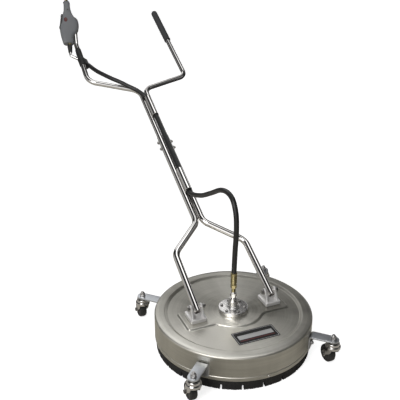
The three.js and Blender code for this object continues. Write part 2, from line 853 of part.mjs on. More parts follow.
function addGunBody() {
  const { halfThickness, length, valveRadius, stemRadius, barOffset, barDepth } = gun;
  const bevel = 5;
  const body = new THREE.ExtrudeGeometry(gunOutline(), {
    depth: 2 * (halfThickness - bevel),
    bevelEnabled: true,
    bevelThickness: bevel,
    bevelSize: bevel,
    bevelOffset: -bevel,
    bevelSegments: 1,
    curveSegments: 3,
  }).translate(0, 0, -(halfThickness - bevel));
  const chamber = barY(valveRadius + GAP, -5, 100 + GAP, 16);
  const channel = barY(stemRadius + GAP, 90, length + 5, 12);
  const socket = barY(upperTube.outer + GAP, -5, barDepth + GAP, 16).translate(barOffset, 0, 0);
  const pocketHalf = trigger.halfThickness + 0.8;
  const pocket = box([-60, trigger.pivotY - 16, -pocketHalf], [-8, trigger.tipY + 8, pocketHalf]);
  const pinHole = barZ(trigger.pinRadius + GAP, -halfThickness + 4, halfThickness - 4, 12);
  pinHole.translate(trigger.pivotX, trigger.pivotY, 0);
  const whole = cut(body, chamber, channel, socket, pocket, pinHole);
  const far = 400;
  const front = keepInside(whole, [-far, -far, GAP / 2], [far, far, far]);
  const rear = keepInside(whole, [-far, -far, -far], [far, far, -GAP / 2]);
  addPart("gun_shell_front", front, greyPlastic, gunFrame);
  addPart("gun_shell_rear", rear, greyPlastic, gunFrame);

  const valve = join(
    barY(valveRadius, -6, 100, 16),
    barY(stemRadius, 95, length + 4, 12),
    barY(8, length + 2, length + 14, 12),
  );
  addPart("gun_valve", valve, brass, gunFrame);
  const collarTop = length + 1.6;
  const collar = turnedRing([
    [stemRadius + GAP, length + GAP],
    [14, length + GAP],
    [13, collarTop],
    [stemRadius + GAP, collarTop],
  ], 16).rotateX(-Math.PI / 2);
  addPart("inlet_collar", collar, darkPlastic, gunFrame);
}

function addTrigger() {
  const { pivotX, pivotY, tipY, halfThickness, pinRadius } = trigger;
  const blade = plate(triggerOutline(), -halfThickness, halfThickness, 4);
  const pin = barZ(pinRadius, -gun.halfThickness + 5, gun.halfThickness - 5, 12).translate(pivotX, pivotY, 0);
  const slotHalf = latch.halfThickness + GAP;
  const slot = box([-60, latch.pivotY - 5, -slotHalf], [0, tipY + 9, slotHalf]);
  addPart("trigger", join(cut(blade, slot), pin), darkPlastic, gunFrame);

  const outline = new THREE.Shape();
  const { pivotX: x, pivotY: y, length } = latch;
  outline.moveTo(x + 3, y);
  outline.lineTo(x + 2.5, y + length);
  outline.lineTo(x - 3, y + length);
  outline.lineTo(x - 3, y);
  outline.absarc(x, y, 3, Math.PI, FULL_TURN);
  const lever = plate(outline, -latch.halfThickness, latch.halfThickness, 3);
  addPart("safety_latch", lever, darkPlastic, gunFrame);
}

function addOutletPipe() {
  addPart("gun_outlet_pipe", swept(outletPath, outletPipeRadius, 0, 12), polishedSteel, handle);
  const boot = turnedRing([[6.6, -42], [8, -42], [12, -9], [6.6, -9]], 14).rotateX(-Math.PI / 2);
  addPart("outlet_boot", boot, darkPlastic, gunFrame);
}

addDeck();
addSkirt();
addCasters();
addHub();
addRotor();
addBrackets();
addTubes();
addGrip();
addGuides();
addHoses();
addHoseClip();
addGunBody();
addTrigger();
addOutletPipe();

const extent = new THREE.Box3().setFromObject(machine, true);
const middle = extent.getCenter(new THREE.Vector3());
machine.position.set(-middle.x, -middle.y, -extent.min.z);

export default group;
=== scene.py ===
"""A walk-behind rotary surface cleaner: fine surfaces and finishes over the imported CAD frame.

Shapes are written in millimetres about the deck's vertical axis with z 0 on the floor, and each is
placed in the CAD's own frame in metres.
"""
import json
import math

import bmesh
import bpy
import numpy as np
from mathutils import Matrix, Vector


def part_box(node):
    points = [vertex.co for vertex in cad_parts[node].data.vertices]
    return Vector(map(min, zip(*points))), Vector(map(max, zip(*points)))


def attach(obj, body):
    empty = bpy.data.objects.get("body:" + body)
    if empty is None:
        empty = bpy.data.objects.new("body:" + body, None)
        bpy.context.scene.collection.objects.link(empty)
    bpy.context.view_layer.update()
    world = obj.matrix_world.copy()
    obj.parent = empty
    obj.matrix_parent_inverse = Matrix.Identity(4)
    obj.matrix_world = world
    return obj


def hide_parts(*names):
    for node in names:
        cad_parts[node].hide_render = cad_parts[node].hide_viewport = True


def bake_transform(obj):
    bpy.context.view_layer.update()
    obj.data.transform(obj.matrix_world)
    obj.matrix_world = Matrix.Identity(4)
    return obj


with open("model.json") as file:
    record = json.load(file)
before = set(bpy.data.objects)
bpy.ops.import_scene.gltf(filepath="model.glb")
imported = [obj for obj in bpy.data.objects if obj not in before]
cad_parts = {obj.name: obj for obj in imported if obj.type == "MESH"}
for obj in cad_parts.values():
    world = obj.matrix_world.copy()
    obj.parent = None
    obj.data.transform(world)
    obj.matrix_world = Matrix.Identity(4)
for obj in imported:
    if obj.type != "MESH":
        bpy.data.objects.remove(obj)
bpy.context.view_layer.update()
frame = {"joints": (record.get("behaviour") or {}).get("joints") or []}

# ---------------------------------------------------------------- places, from the CAD
TAU = 2 * math.pi
MM = 1000.0
joints = {joint["name"]: joint for joint in frame["joints"]}


def box_mm(node):
    low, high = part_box(node)
    return low * MM, high * MM


def centre_mm(node):
    low, high = box_mm(node)
    return (low + high) / 2


deck_centre = centre_mm("deck_shell")
PIVOT_HEIGHT = joints["handle_tilt"]["pos_m"][2] * MM
LEAN = math.radians(62)
MACHINE = Matrix.Scale(1 / MM, 4) @ Matrix.Translation((deck_centre.x, deck_centre.y, 0))
HANDLE = MACHINE @ Matrix.Translation((0, 0, PIVOT_HEIGHT)) @ Matrix.Rotation(math.pi / 2 - LEAN, 4, "X")
GUN_PLACE = (-223, 1330, 0)
GUN_TILT = math.radians(15)
GUN_SLANT = math.radians(8.2)
GUN = (
    HANDLE
    @ Matrix.Translation(GUN_PLACE)
    @ Matrix.Rotation(GUN_TILT, 4, "X")
    @ Matrix.Rotation(-GUN_SLANT, 4, "Z")
)
CORNERS = {"front_left": 225, "front_right": 315, "rear_right": 45, "rear_left": 135}
CASTER_CIRCLE = 328
DECK_RADIUS = 254
DISC_TOP = 113
PAD_HEIGHT = 5
PAD_TOP = DISC_TOP + PAD_HEIGHT
DECK_SHEET = 3
GAP = 0.4  # between neighbouring pieces that touch on the real machine


def gun_point(x, y):
    """A point of the gun's frame, written in the handle's frame."""
    return tuple(HANDLE.inverted() @ GUN @ Vector((x, y, 0)))


# ---------------------------------------------------------------- shells: (points, faces)
def ring_faces(rows, columns, wrap_rows=False):
    faces = []
    for i in range(rows if wrap_rows else rows - 1):
        a, b = i * columns, ((i + 1) % rows) * columns
        for j in range(columns):
            k = (j + 1) % columns
            faces.append((a + j, a + k, b + k, b + j))
    return faces


def loft(rings, closed_ends=True, wrap=False):
    """A skin over equal rings of points, with flat ends unless it wraps round on itself."""
    rings = [np.asarray(ring, float) for ring in rings]
    columns = len(rings[0])
    faces = ring_faces(len(rings), columns, wrap)
    if closed_ends and not wrap:
        last = (len(rings) - 1) * columns
        faces.append(tuple(range(columns - 1, -1, -1)))
        faces.append(tuple(range(last, last + columns)))
    return np.concatenate(rings), faces


def merge(*shells):
    points, faces, start = [], [], 0
    for some_points, some_faces in shells:
        points.append(some_points)
        faces += [tuple(index + start for index in face) for face in some_faces]
        start += len(some_points)
    return np.concatenate(points), faces


def moved(shell, matrix):
    points, faces = shell
    m = np.array(matrix)
    return points @ m[:3, :3].T + m[:3, 3], faces


def shifted(shell, x=0, y=0, z=0):
    return moved(shell, Matrix.Translation((x, y, z)))


def turned(shell, degrees, axis="Z"):
    return moved(shell, Matrix.Rotation(math.radians(degrees), 4, axis))


ALONG_X = Matrix.Rotation(math.pi / 2, 4, "Y")
ALONG_Y = Matrix.Rotation(-math.pi / 2, 4, "X")
# Stands an XY outline up in the YZ plane, with its thickness along X.
UPRIGHT = Matrix(((0, 0, 1, 0), (1, 0, 0, 0), (0, 1, 0, 0), (0, 0, 0, 1)))
# Turns an XY outline into the XZ plane, with its thickness along Y.
LAID_DOWN = Matrix(((1, 0, 0, 0), (0, 0, -1, 0), (0, 1, 0, 0), (0, 0, 0, 1)))


def rounded(points, radius, steps=3, closed=True):
    """A 2D outline with its corners rounded. radius is one number or one per corner."""
    points = [np.array(p, float) for p in points]
    count = len(points)
    radii = radius if hasattr(radius, "__len__") else [radius] * count
    out = []
    for i, corner in enumerate(points):
        if not closed and i in (0, count - 1):
            out.append(corner)
            continue
        before, after = points[i - 1] - corner, points[(i + 1) % count] - corner
        long_before, long_after = np.linalg.norm(before), np.linalg.norm(after)
        before, after = before / long_before, after / long_after
        half = math.acos(float(np.clip(before @ after, -1, 1))) / 2
        if radii[i] <= 0 or half > 1.55:
            out.append(corner)
            continue
        reach = min(radii[i] / math.tan(half), 0.48 * long_before, 0.48 * long_after)
        start, end = corner + before * reach, corner + after * reach
        for k in range(steps + 1):
            t = k / steps
            out.append((1 - t) ** 2 * start + 2 * t * (1 - t) * corner + t * t * end)
    return np.array(out)


def circle(radius, sides=24, centre=(0, 0), start=0.0, sweep=TAU):
    angles = start + sweep * np.arange(sides) / (sides if sweep == TAU else sides - 1)
    return np.stack([centre[0] + radius * np.cos(angles), centre[1] + radius * np.sin(angles)], 1)


def revolved(section, steps):
    """The rings that a section of (radius, height) points makes round Z."""
    angles = TAU * np.arange(steps) / steps
    return [np.stack([r * np.cos(angles), r * np.sin(angles), np.full(steps, z)], 1) for r, z in section]


def lathe(profile, steps=64, edge=0.6):
    """A solid of revolution about Z from a ring-shaped section of (radius, height) corners."""
    section = rounded(profile, edge, 3) if edge else np.array(profile, float)
    on_axis = 1e-3
    section[:, 0] = np.maximum(section[:, 0], on_axis)
    return loft(revolved(section, steps), wrap=True)


def solid_lathe(profile, steps=48, edge=0.6):
    """The same for a solid: profile runs from the lower end's rim to the upper end's rim."""
    section = rounded(profile, edge, 3, closed=False) if edge else np.array(profile, float)
    return loft(revolved(section, steps))


def outline_normals(outline):
    ahead, behind = np.roll(outline, -1, 0) - outline, outline - np.roll(outline, 1, 0)
    ahead /= np.linalg.norm(ahead, axis=1, keepdims=True) + 1e-9
    behind /= np.linalg.norm(behind, axis=1, keepdims=True) + 1e-9
    mean = ahead + behind
    mean /= np.linalg.norm(mean, axis=1, keepdims=True) + 1e-9
    return np.stack([mean[:, 1], -mean[:, 0]], 1)


def prism(outline, low, high, bevel=0.8, steps=2):
    """An anticlockwise outline in XY extruded from low to high, with rounded edges."""
    outline = np.asarray(outline, float)
    normals = outline_normals(outline)
    rings = []
    for side, height in ((-1, low), (1, high)):
        turns = [k / steps * math.pi / 2 for k in range(steps + 1)]
        for turn in turns if side < 0 else turns[::-1]:
            inset = bevel * (1 - math.sin(turn))
            z = height - side * bevel * (1 - math.cos(turn))
            rings.append(np.column_stack([outline - normals * inset, np.full(len(outline), z)]))
    return loft(rings)


def hex_head(across, low, high, chamfer=0.55):
    """A hexagon bolt head or nut about Z, its corners cut by the usual cone."""
    angles = TAU * np.arange(36) / 36
    reach = across / 2 / np.cos((angles + math.pi / 6) % (math.pi / 3) - math.pi / 6)
    flat = across / 2 * 0.95
    drop = (reach - flat) * chamfer

    def ring(radii, heights):
        return np.stack([radii * np.cos(angles), radii * np.sin(angles), heights], 1)

    even = np.ones(36)
    return loft([
        ring(flat * even, low * even),
        ring(reach, low + drop),
        ring(reach, high - drop),
        ring(flat * even, high * even),
    ])


def bolt_end(radius, low, high, pitch=1.0):
    """A threaded end: ridges round a bar, with a chamfered tip."""
    profile = [(radius - 0.3, low)]
    z = low
    while z < high - pitch:
        profile += [(radius - 0.35, z + pitch * 0.25), (radius, z + pitch * 0.75)]
        z += pitch
    profile += [(radius - 0.5, high - 0.5), (radius - 1.0, high)]
    return solid_lathe(profile, 20, 0)


def washer(outer, inner, low, high, steps=32, edge=0.3):
    return lathe([(outer, low), (outer, high), (inner, high), (inner, low)], steps, edge)


# ---------------------------------------------------------------- centre lines
def bent(corners, bends, arc_step=4.0, straight_step=30.0):
    """Points along straight runs joined by arcs. bends is one radius or one per inner corner."""
    corners = [np.array(c, float) for c in corners]
    bends = bends if hasattr(bends, "__len__") else [bends] * (len(corners) - 2)
    points = [corners[0]]

    def run_to(target):
        start = points[-1]
        count = max(1, int(np.linalg.norm(target - start) / straight_step))
        points.extend(start + (target - start) * k / count for k in range(1, count + 1))

    for corner, before, after, radius in zip(corners[1:], corners, corners[2:], bends):
        a = (before - corner) / np.linalg.norm(before - corner)
        b = (after - corner) / np.linalg.norm(after - corner)
        half = math.acos(float(np.clip(a @ b, -1, 1))) / 2
        reach = radius / math.tan(half)
        middle = (a + b) / np.linalg.norm(a + b)
        hub = corner + middle * radius / math.sin(half)
        start, end = corner + a * reach - hub, corner + b * reach - hub
        sweep = math.pi - 2 * half
        run_to(hub + start)
        count = max(3, int(radius * sweep / arc_step))
        for k in range(1, count + 1):
            t = sweep * k / count
            points.append(hub + (start * math.sin(sweep - t) + end * math.sin(t)) / math.sin(sweep))
    run_to(corners[-1])
    return np.array(points)


def between(p, q, start, end, t):
    return (end - t) / (end - start) * p + (t - start) / (end - start) * q


def smooth_line(points, step=6.0):
    """An even, rounded line through the points (a centripetal Catmull-Rom curve)."""
    points = np.array(points, float)
    ends = [2 * points[0] - points[1], *points, 2 * points[-1] - points[-2]]
    line = []
    for p0, p1, p2, p3 in zip(ends, ends[1:], ends[2:], ends[3:]):
        t0 = 0.0
        t1 = t0 + np.linalg.norm(p1 - p0) ** 0.5
        t2 = t1 + np.linalg.norm(p2 - p1) ** 0.5
        t3 = t2 + np.linalg.norm(p3 - p2) ** 0.5
        for t in np.linspace(t1, t2, max(2, int(np.linalg.norm(p2 - p1) / step)), endpoint=False):
            a1 = between(p0, p1, t0, t1, t)
            a2 = between(p1, p2, t1, t2, t)
            a3 = between(p2, p3, t2, t3, t)
            b1 = between(a1, a2, t0, t2, t)
            b2 = between(a2, a3, t1, t3, t)
            line.append(between(b1, b2, t1, t2, t))
    return np.array([*line, points[-1]])


def frames_along(line):
    """Unit tangents with two steady cross directions at each point of a line."""
    tangents = np.gradient(line, axis=0)
    tangents /= np.linalg.norm(tangents, axis=1, keepdims=True)
    first = np.array([0, 0, 1.0]) if abs(tangents[0][2]) < 0.9 else np.array([1.0, 0, 0])
    across = []
    for tangent in tangents:
        first = first - tangent * (first @ tangent)
        first = first / np.linalg.norm(first)
        across.append(first)
    across = np.array(across)
    return tangents, across, np.cross(tangents, across)


def rings_along(line, radii, sides=32):
    tangents, across, other = frames_along(line)
    angles = TAU * np.arange(sides) / sides
    radii = np.broadcast_to(radii, len(line))
    return [
        point + radius * (np.outer(np.cos(angles), a) + np.outer(np.sin(angles), b))
        for point, a, b, radius in zip(line, across, other, radii)
    ]


def rod(line, radius, sides=32):
    """A solid round bar or hose along a line."""
    return loft(rings_along(line, radius, sides))


def pipe(line, outer, inner, sides=40, lip=0.5):
    """An open tube along a line, with rounded rims."""
    along = line[1] - line[0]
    end = line[-1] - line[-2]
    along, end = along / np.linalg.norm(along) * lip, end / np.linalg.norm(end) * lip
    full = np.array([line[0], line[0] + along, *line[1:-1], line[-1] - end, line[-1]])
    outside = rings_along(full, [outer - lip] + [outer] * (len(full) - 2) + [outer - lip], sides)
    inside = rings_along(full, inner, sides)
    return loft([*outside, *inside[::-1]], wrap=True)


# ---------------------------------------------------------------- finishes
def add(tree, kind, **settings):
    node = tree.nodes.new("ShaderNode" + kind)
    for key, value in settings.items():
        name = key.replace("_", " ")
        socket = next((s for s in node.inputs if s.name.lower() == name.lower() and s.enabled), None)
        if isinstance(value, bpy.types.NodeSocket):
            tree.links.new(value, socket if socket else node.inputs[int(key[1:])])
        elif socket is not None:
            socket.default_value = value
        elif key[0] == "i" and key[1:].isdigit():
            node.inputs[int(key[1:])].default_value = value
        else:
            setattr(node, key, value)
    return node


def new_material(name):
    material = bpy.data.materials.new(name)
    material.use_nodes = True
    material.node_tree.nodes.clear()
    return material, material.node_tree


def finish_material(material, tree, shader):
    output = add(tree, "OutputMaterial")
    tree.links.new(shader.outputs["BSDF"], output.inputs["Surface"])
    return material


def ramp(tree, value, low, high, start=0.0, end=1.0):
    """Maps start..end onto low..high."""
    node = add(tree, "MapRange", value=value, from_min=start, from_max=end, to_min=low, to_max=high)
    return node.outputs["Result"]


def math_node(tree, operation, first, second=0.0):
    return add(tree, "Math", operation=operation, i0=first, i1=second).outputs[0]


def times(tree, first, second):
    return math_node(tree, "MULTIPLY", first, second)


def plus(tree, first, second):
    return math_node(tree, "ADD", first, second)


def object_point(tree, x=1.0, y=1.0, z=1.0):
    """The object's own coordinates in metres, stretched."""
    point = add(tree, "TexCoord").outputs["Object"]
    return add(tree, "Mapping", vector=point, scale=(x, y, z)).outputs["Vector"]


def noise(tree, vector, scale, detail=3.0, rough=0.55):
    node = add(tree, "TexNoise", vector=vector, scale=scale, detail=detail, roughness=rough)
    return node.outputs["Fac"]


def bump(tree, height, distance, strength=1.0):
    return add(tree, "Bump", height=height, distance=distance, strength=strength).outputs["Normal"]


def tinted(tree, value, dark, light):
    """A colour between dark and light. A colour Mix node's own sockets are numbers 6 and 7, its result 2."""
    node = add(tree, "Mix", data_type="RGBA")
    tree.links.new(value, node.inputs[0])
    for index, colour in ((6, dark), (7, light)):
        if isinstance(colour, bpy.types.NodeSocket):
            tree.links.new(colour, node.inputs[index])
        else:
            node.inputs[index].default_value = (*colour, 1)
    return node.outputs[2]


def deck_polar(tree):
    """Angle, radius and height about the deck's axis."""
    separate = add(tree, "SeparateXYZ", vector=add(tree, "TexCoord").outputs["Object"])
    x = separate.outputs["X"]
    y = math_node(tree, "SUBTRACT", separate.outputs["Y"], deck_centre.y / MM)
    angle = math_node(tree, "ARCTAN2", y, x)
    square = plus(tree, times(tree, x, x), times(tree, y, y))
    return angle, math_node(tree, "SQRT", square), separate.outputs["Z"]


def polar_point(tree, around, across):
    """Coordinates that run round the deck's axis: slow round it, fast across it."""
    angle, radius, z = deck_polar(tree)
    combined = add(tree, "CombineXYZ")
    for index, (value, factor) in enumerate(((angle, around), (radius, across), (z, across))):
        tree.links.new(times(tree, value, factor), combined.inputs[index])
    return combined.outputs[0]


def painted_sheen_fan(tree):
    """Painted sheen: broad light and dark fans painted into the sheet's colour, brightest towards the front
    left.
    """
    angle = deck_polar(tree)[0]
    brightest = math.radians(225)
    pair_of_fans = math.radians(470)
    doubled = times(tree, angle, 2.0)
    once = math_node(tree, "COSINE", math_node(tree, "SUBTRACT", angle, brightest))
    twice = math_node(tree, "COSINE", math_node(tree, "SUBTRACT", doubled, pair_of_fans))
    return times(tree, plus(tree, once, twice), 0.5)


def spun_steel():
    """Stainless sheet with the circular lines of spinning, and broad and random fans of painted sheen in its
    colour.
    """
    material, tree = new_material("spun_steel")
    fine = noise(tree, polar_point(tree, 2.2, 900), 1.0, 4, 0.65)
    rings = noise(tree, polar_point(tree, 0.7, 140), 1.0, 3, 0.6)
    # random fans round the deck: painted sheen in the colour, uneven gloss in the roughness
    random_sheen_fan = noise(tree, polar_point(tree, 2.6, 3), 1.0, 3, 0.6)
    lines = times(tree, plus(tree, fine, rings), 0.5)
    shade = times(tree, plus(tree, lines, random_sheen_fan), 0.5)
    facing_up = add(tree, "SeparateXYZ", vector=add(tree, "NewGeometry").outputs["Normal"]).outputs["Z"]
    # painted sheen: the broad fans lighten and darken the colour round the deck, most on upward faces
    painted_sheen = times(tree, painted_sheen_fan(tree), ramp(tree, facing_up, -0.1, 0.6))
    blend = plus(tree, ramp(tree, shade, -0.05, 1.05), painted_sheen)
    colour = tinted(tree, blend, (0.27, 0.262, 0.232), (0.94, 0.92, 0.845))
    tangent = add(tree, "Tangent", direction_type="RADIAL", axis="Z").outputs[0]
    shader = add(
        tree, "BsdfPrincipled", base_color=colour, metallic=1.0, roughness=ramp(tree, shade, 0.28, 0.52),
        anisotropic=ramp(tree, facing_up, 0.85, 0.35), tangent=tangent,
        normal=bump(tree, lines, 0.00015, 0.5),
    )
    return finish_material(material, tree, shader)


def plated(name, dark, light, rough_low, rough_high, scale=350, relief=0.00006, clouds=28, metallic=1.0):
    """A metal with fine grain, cloudiness and uneven gloss."""
    material, tree = new_material(name)
    fine = noise(tree, object_point(tree), scale, 3, 0.6)
    cloud = noise(tree, object_point(tree), clouds, 4)
    mixed = times(tree, plus(tree, fine, cloud), 0.5)
    shader = add(
        tree, "BsdfPrincipled", base_color=tinted(tree, mixed, dark, light), metallic=metallic,
        roughness=ramp(tree, mixed, rough_low, rough_high), normal=bump(tree, fine, relief, 0.6),
    )
    return finish_material(material, tree, shader)


def moulded(name, dark, light, rough_low, rough_high, scale=900, relief=0.0001, grain=(1, 1, 1), sheen=0.0):
    """Plastic or rubber with a moulded grain, slight colour drift and scuffed gloss."""
    material, tree = new_material(name)
    fine = noise(tree, object_point(tree, *grain), scale, 4, 0.6)
    cloud = noise(tree, object_point(tree), 22, 3)
    shader = add(
        tree, "BsdfPrincipled", base_color=tinted(tree, cloud, dark, light),
        roughness=ramp(tree, cloud, rough_low, rough_high), normal=bump(tree, fine, relief, 0.7),
        sheen_weight=sheen,
    )
    return finish_material(material, tree, shader)


def grey(level, warmth=0.0):
    return (level * (1 + warmth), level, level * (1 - warmth))


SPUN = spun_steel()
CHROME = plated("polished_tube", grey(0.74, 0.02), grey(0.86, 0.02), 0.03, 0.10, 120, 0.00002)
NICKEL = plated("nickel_plate", grey(0.58, 0.03), grey(0.80, 0.02), 0.14, 0.30)
CAST = plated("satin_casting", grey(0.84, 0.01), grey(0.96, 0.01), 0.30, 0.46, 160, 0.00012, metallic=0.6)
ZINC = plated("zinc_flat_bar", (0.46, 0.48, 0.515), (0.74, 0.76, 0.785), 0.24, 0.44, 200, 0.0001, 45)
YELLOW = plated("yellow_zinc", (0.30, 0.25, 0.12), (0.52, 0.45, 0.25), 0.18, 0.36)
DARK_STEEL = plated("dark_steel", grey(0.10, 0.04), grey(0.20, 0.04), 0.25, 0.5)
HOSE = moulded("hose_rubber", grey(0.012), grey(0.022), 0.26, 0.44, 600, 0.00008)
RUBBER = moulded("black_rubber", grey(0.012), grey(0.024), 0.4, 0.6)
WHEEL = moulded("wheel_rubber", grey(0.016), grey(0.030), 0.32, 0.52, 500, 0.00012)
BRISTLE = moulded("black_bristle", grey(0.006), grey(0.022), 0.55, 0.8, 260, 0.0004, (1, 1, 0.06))
GRIP = moulded("charcoal_grip", (0.040, 0.041, 0.044), (0.060, 0.061, 0.065), 0.62, 0.85, 700, 0.00035)
GREY = moulded("grey_plastic", (0.190, 0.197, 0.210), (0.235, 0.243, 0.256), 0.38, 0.55, 1400, 0.0002)
DARK = moulded("dark_plastic", grey(0.022), grey(0.036), 0.35, 0.55, 1200, 0.0001)
BADGE = moulded("badge", (0.10, 0.018, 0.018), (0.16, 0.03, 0.028), 0.25, 0.4, 500, 0.00005)
BOLT = plated("zinc_bolt", grey(0.42, 0.02), grey(0.66, 0.02), 0.2, 0.42, 260, 0.00008)
FLANGE_BOLT = plated("flange_bolt", grey(0.34, 0.02), grey(0.54, 0.02), 0.22, 0.42, 260, 0.00008)
DARK_BOLT = plated("dark_bolt", grey(0.14, 0.03), grey(0.28, 0.03), 0.24, 0.42, 260, 0.00008)
HUB = plated("bright_hub", grey(0.72, 0.02), grey(0.90, 0.01), 0.20, 0.34, 160, 0.00005)
LATCH = moulded("latch_plastic", grey(0.03), grey(0.05), 0.35, 0.5, 900, 0.0001)
LABEL_DARK = moulded("label_dark", grey(0.012), grey(0.022), 0.55, 0.7, 400, 0.00003)
LABEL_PALE = moulded("label_pale", grey(0.52), grey(0.62), 0.3, 0.42, 400, 0.00003)


# ---------------------------------------------------------------- making pieces
def put_in_scene(name, data):
    made = bpy.data.objects.new(name, data)
    bpy.context.scene.collection.objects.link(made)
    return made


def mesh_of(name, shell):
    """A mesh from a shell, with every face turned outward."""
    points, faces = shell
    mesh = bpy.data.meshes.new(name)
    mesh.from_pydata(points.tolist(), [], faces)
    work = bmesh.new()
    work.from_mesh(mesh)
    bmesh.ops.recalc_face_normals(work, faces=work.faces)
    work.to_mesh(mesh)
    work.free()
    return mesh


def carved(shell, *tools):
    """The shell with each tool shell cut away."""
    things = [put_in_scene("carving", mesh_of("carving", part)) for part in (shell, *tools)]
    for tool in things[1:]:
        modifier = things[0].modifiers.new("cut", "BOOLEAN")
        modifier.operation = "DIFFERENCE"
        modifier.solver = "EXACT"
        modifier.object = tool
    bpy.context.view_layer.update()
    result = things[0].evaluated_get(bpy.context.evaluated_depsgraph_get()).to_mesh()
    points = np.array([vertex.co for vertex in result.vertices], float)
    faces = [tuple(face.vertices) for face in result.polygons]
    for thing in things:
        bpy.data.objects.remove(thing)
    return points, faces


def piece(name, shell, material, body, replaces=(), slot=None, place=MACHINE, sharp=38):
    """A finished piece from a shell in millimetres. Without a body it is left free, to be blended."""
    mesh = mesh_of(name, moved(shell, place))
    mesh.shade_smooth()
    mesh.set_sharp_from_angle(angle=math.radians(sharp))
    mesh.materials.append(material)
    made = put_in_scene(name, mesh)
    if body:
        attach(made, body)
    if replaces:
        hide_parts(*replaces)
    return made


def refine(name, shell, material, body, slot, **options):
    """A piece that stands for the CAD node of the same name."""
    return piece(name + "_fine", shell, material, body, (name,), slot, **options)


def block(low, high, bevel=1.0, corner=None):
    """A box with rounded edges."""
    (x0, y0, z0), (x1, y1, z1) = low, high
    outline = rounded([(x0, y0), (x1, y0), (x1, y1), (x0, y1)], corner or 2 * bevel, 4)
    return prism(outline, z0, z1, bevel)


def noise_line(count, seed):
    """Even numbers from 0 to 1 in a fixed, mixed order."""
    return np.random.default_rng(seed).random(count)


# ---------------------------------------------------------------- deck
DECK_COLUMNS = 512
DISC_RADIUS = 213
BORE_RADIUS = 24.5


def pad_rise(x, y):
    """Height above the disc of the pressed pad, a long bar melted into a round middle."""
    half_length, half_depth, corner, middle_radius = 178, 55, 14, 97
    melt, slope = 14, 6
    beyond_x = np.abs(x) - half_length + corner
    beyond_y = np.abs(y) - half_depth + corner
    bar = np.hypot(np.maximum(beyond_x, 0), np.maximum(beyond_y, 0)) - corner
    bar += np.minimum(np.maximum(beyond_x, beyond_y), 0)
    middle = np.hypot(x, y) - middle_radius
    share = np.clip(0.5 + 0.5 * (bar - middle) / melt, 0, 1)
    distance = bar * (1 - share) + middle * share - melt * share * (1 - share)
    climb = np.clip(-distance / slope, 0, 1)
    return PAD_HEIGHT * climb * climb * (3 - 2 * climb)


def deck_shell():
    edge = rounded(
        [
            (DISC_RADIUS - 3, DISC_TOP), (DISC_RADIUS, DISC_TOP), (DISC_RADIUS + 8, 119.2),
            (DISC_RADIUS + 26, 119), (DECK_RADIUS, 117),
            (DECK_RADIUS, 48.6), (DECK_RADIUS - 2, 47), (DECK_RADIUS, 45.4),
            (DECK_RADIUS, 34), (DECK_RADIUS - DECK_SHEET, 34), (DECK_RADIUS - DECK_SHEET, 116),
            (DISC_RADIUS + 10, 115.5), (DISC_RADIUS + 2, DISC_TOP - DECK_SHEET),
            (BORE_RADIUS, DISC_TOP - DECK_SHEET),
        ],
        [0, 4, 5, 20, 11, 0.5, 0.4, 0.5, 0.8, 0.8, 8, 3, 3, 0],
        7,
        closed=False,
    )
    disc = [(radius, DISC_TOP) for radius in np.linspace(BORE_RADIUS, DISC_RADIUS - 4, 112)]
    angles = TAU * np.arange(DECK_COLUMNS) / DECK_COLUMNS
    rings = []
    for index, (radius, height) in enumerate([*disc, *edge]):
        x, y = radius * np.cos(angles), radius * np.sin(angles)
        z = np.full(DECK_COLUMNS, float(height))
        if index < len(disc):
            z += pad_rise(x, y)
        rings.append(np.stack([x, y, z], 1))
    return loft(rings, wrap=True)


def build_deck():
    refine("deck_shell", deck_shell(), SPUN, "deck", "brushed_steel_deck", sharp=50)
    dome = solid_lathe([(3.4, -1), (3.4, 0.9), (2.4, 2.1), (0.4, 2.5)], 24, 0.5)
    heads = [
        turned(shifted(moved(dome, ALONG_X), DECK_RADIUS, 0, 39.5), angle) for angle in (0, 90, 180, 270)
    ]
    piece("strip_screws", merge(*heads), NICKEL, "deck", slot="nickel_plate")
    seam_angle = 229.3
    seam_x = DECK_RADIUS - 0.5
    seam = rod(np.array([[seam_x, 0, 47.0], [seam_x, 0, 107.5]]), 0.9, 12)
    piece("wall_weld", turned(seam, seam_angle), NICKEL, "deck", slot="brushed_steel_deck")


def build_label():
    """A plain dark plate with a pale border, a pale band and a red rule. It carries no lettering."""
    centre_x, centre_y, half_x, half_y = 8, -145, 70, 31
    base = DISC_TOP + 0.02

    def panel(x0, y0, x1, y1, low, high, corner=1.0):
        outline = rounded([(x0, y0), (x1, y0), (x1, y1), (x0, y1)], corner, 4)
        return shifted(prism(outline, low, high, 0.08), centre_x, centre_y, base)

    plate = panel(-half_x, -half_y, half_x, half_y, 0, 0.5, 4)
    piece("label_plate", plate, LABEL_DARK, "deck", slot="dark_plastic")
    inset, width = 3.0, 1.4
    outer_x, outer_y = half_x - inset, half_y - inset
    across, along_side = outer_y - width, outer_x - width
    border = [panel(-outer_x, low, outer_x, low + width, 0.45, 0.6, 0.3) for low in (-outer_y, across)]
    border += [panel(low, -across, low + width, across, 0.45, 0.6, 0.3) for low in (-outer_x, along_side)]
    piece("label_border", merge(*border), LABEL_PALE, "deck", slot="grey_plastic")
    piece("label_band", panel(-58, -9, 58, 11, 0.45, 0.65), LABEL_PALE, "deck", slot="grey_plastic")
    piece("label_rule", panel(-58, -17, 58, -13, 0.45, 0.65), BADGE, "deck", slot="dark_plastic")


# ---------------------------------------------------------------- brush
SKIRT_OUTER = 250.4
SKIRT_INNER = 239
SKIRT_TOP = 31
NOTCHES = 24
FIRST_NOTCH = math.radians(12)
NOTCH_HALF = 3 / SKIRT_OUTER
NOTCH_TOP = 17


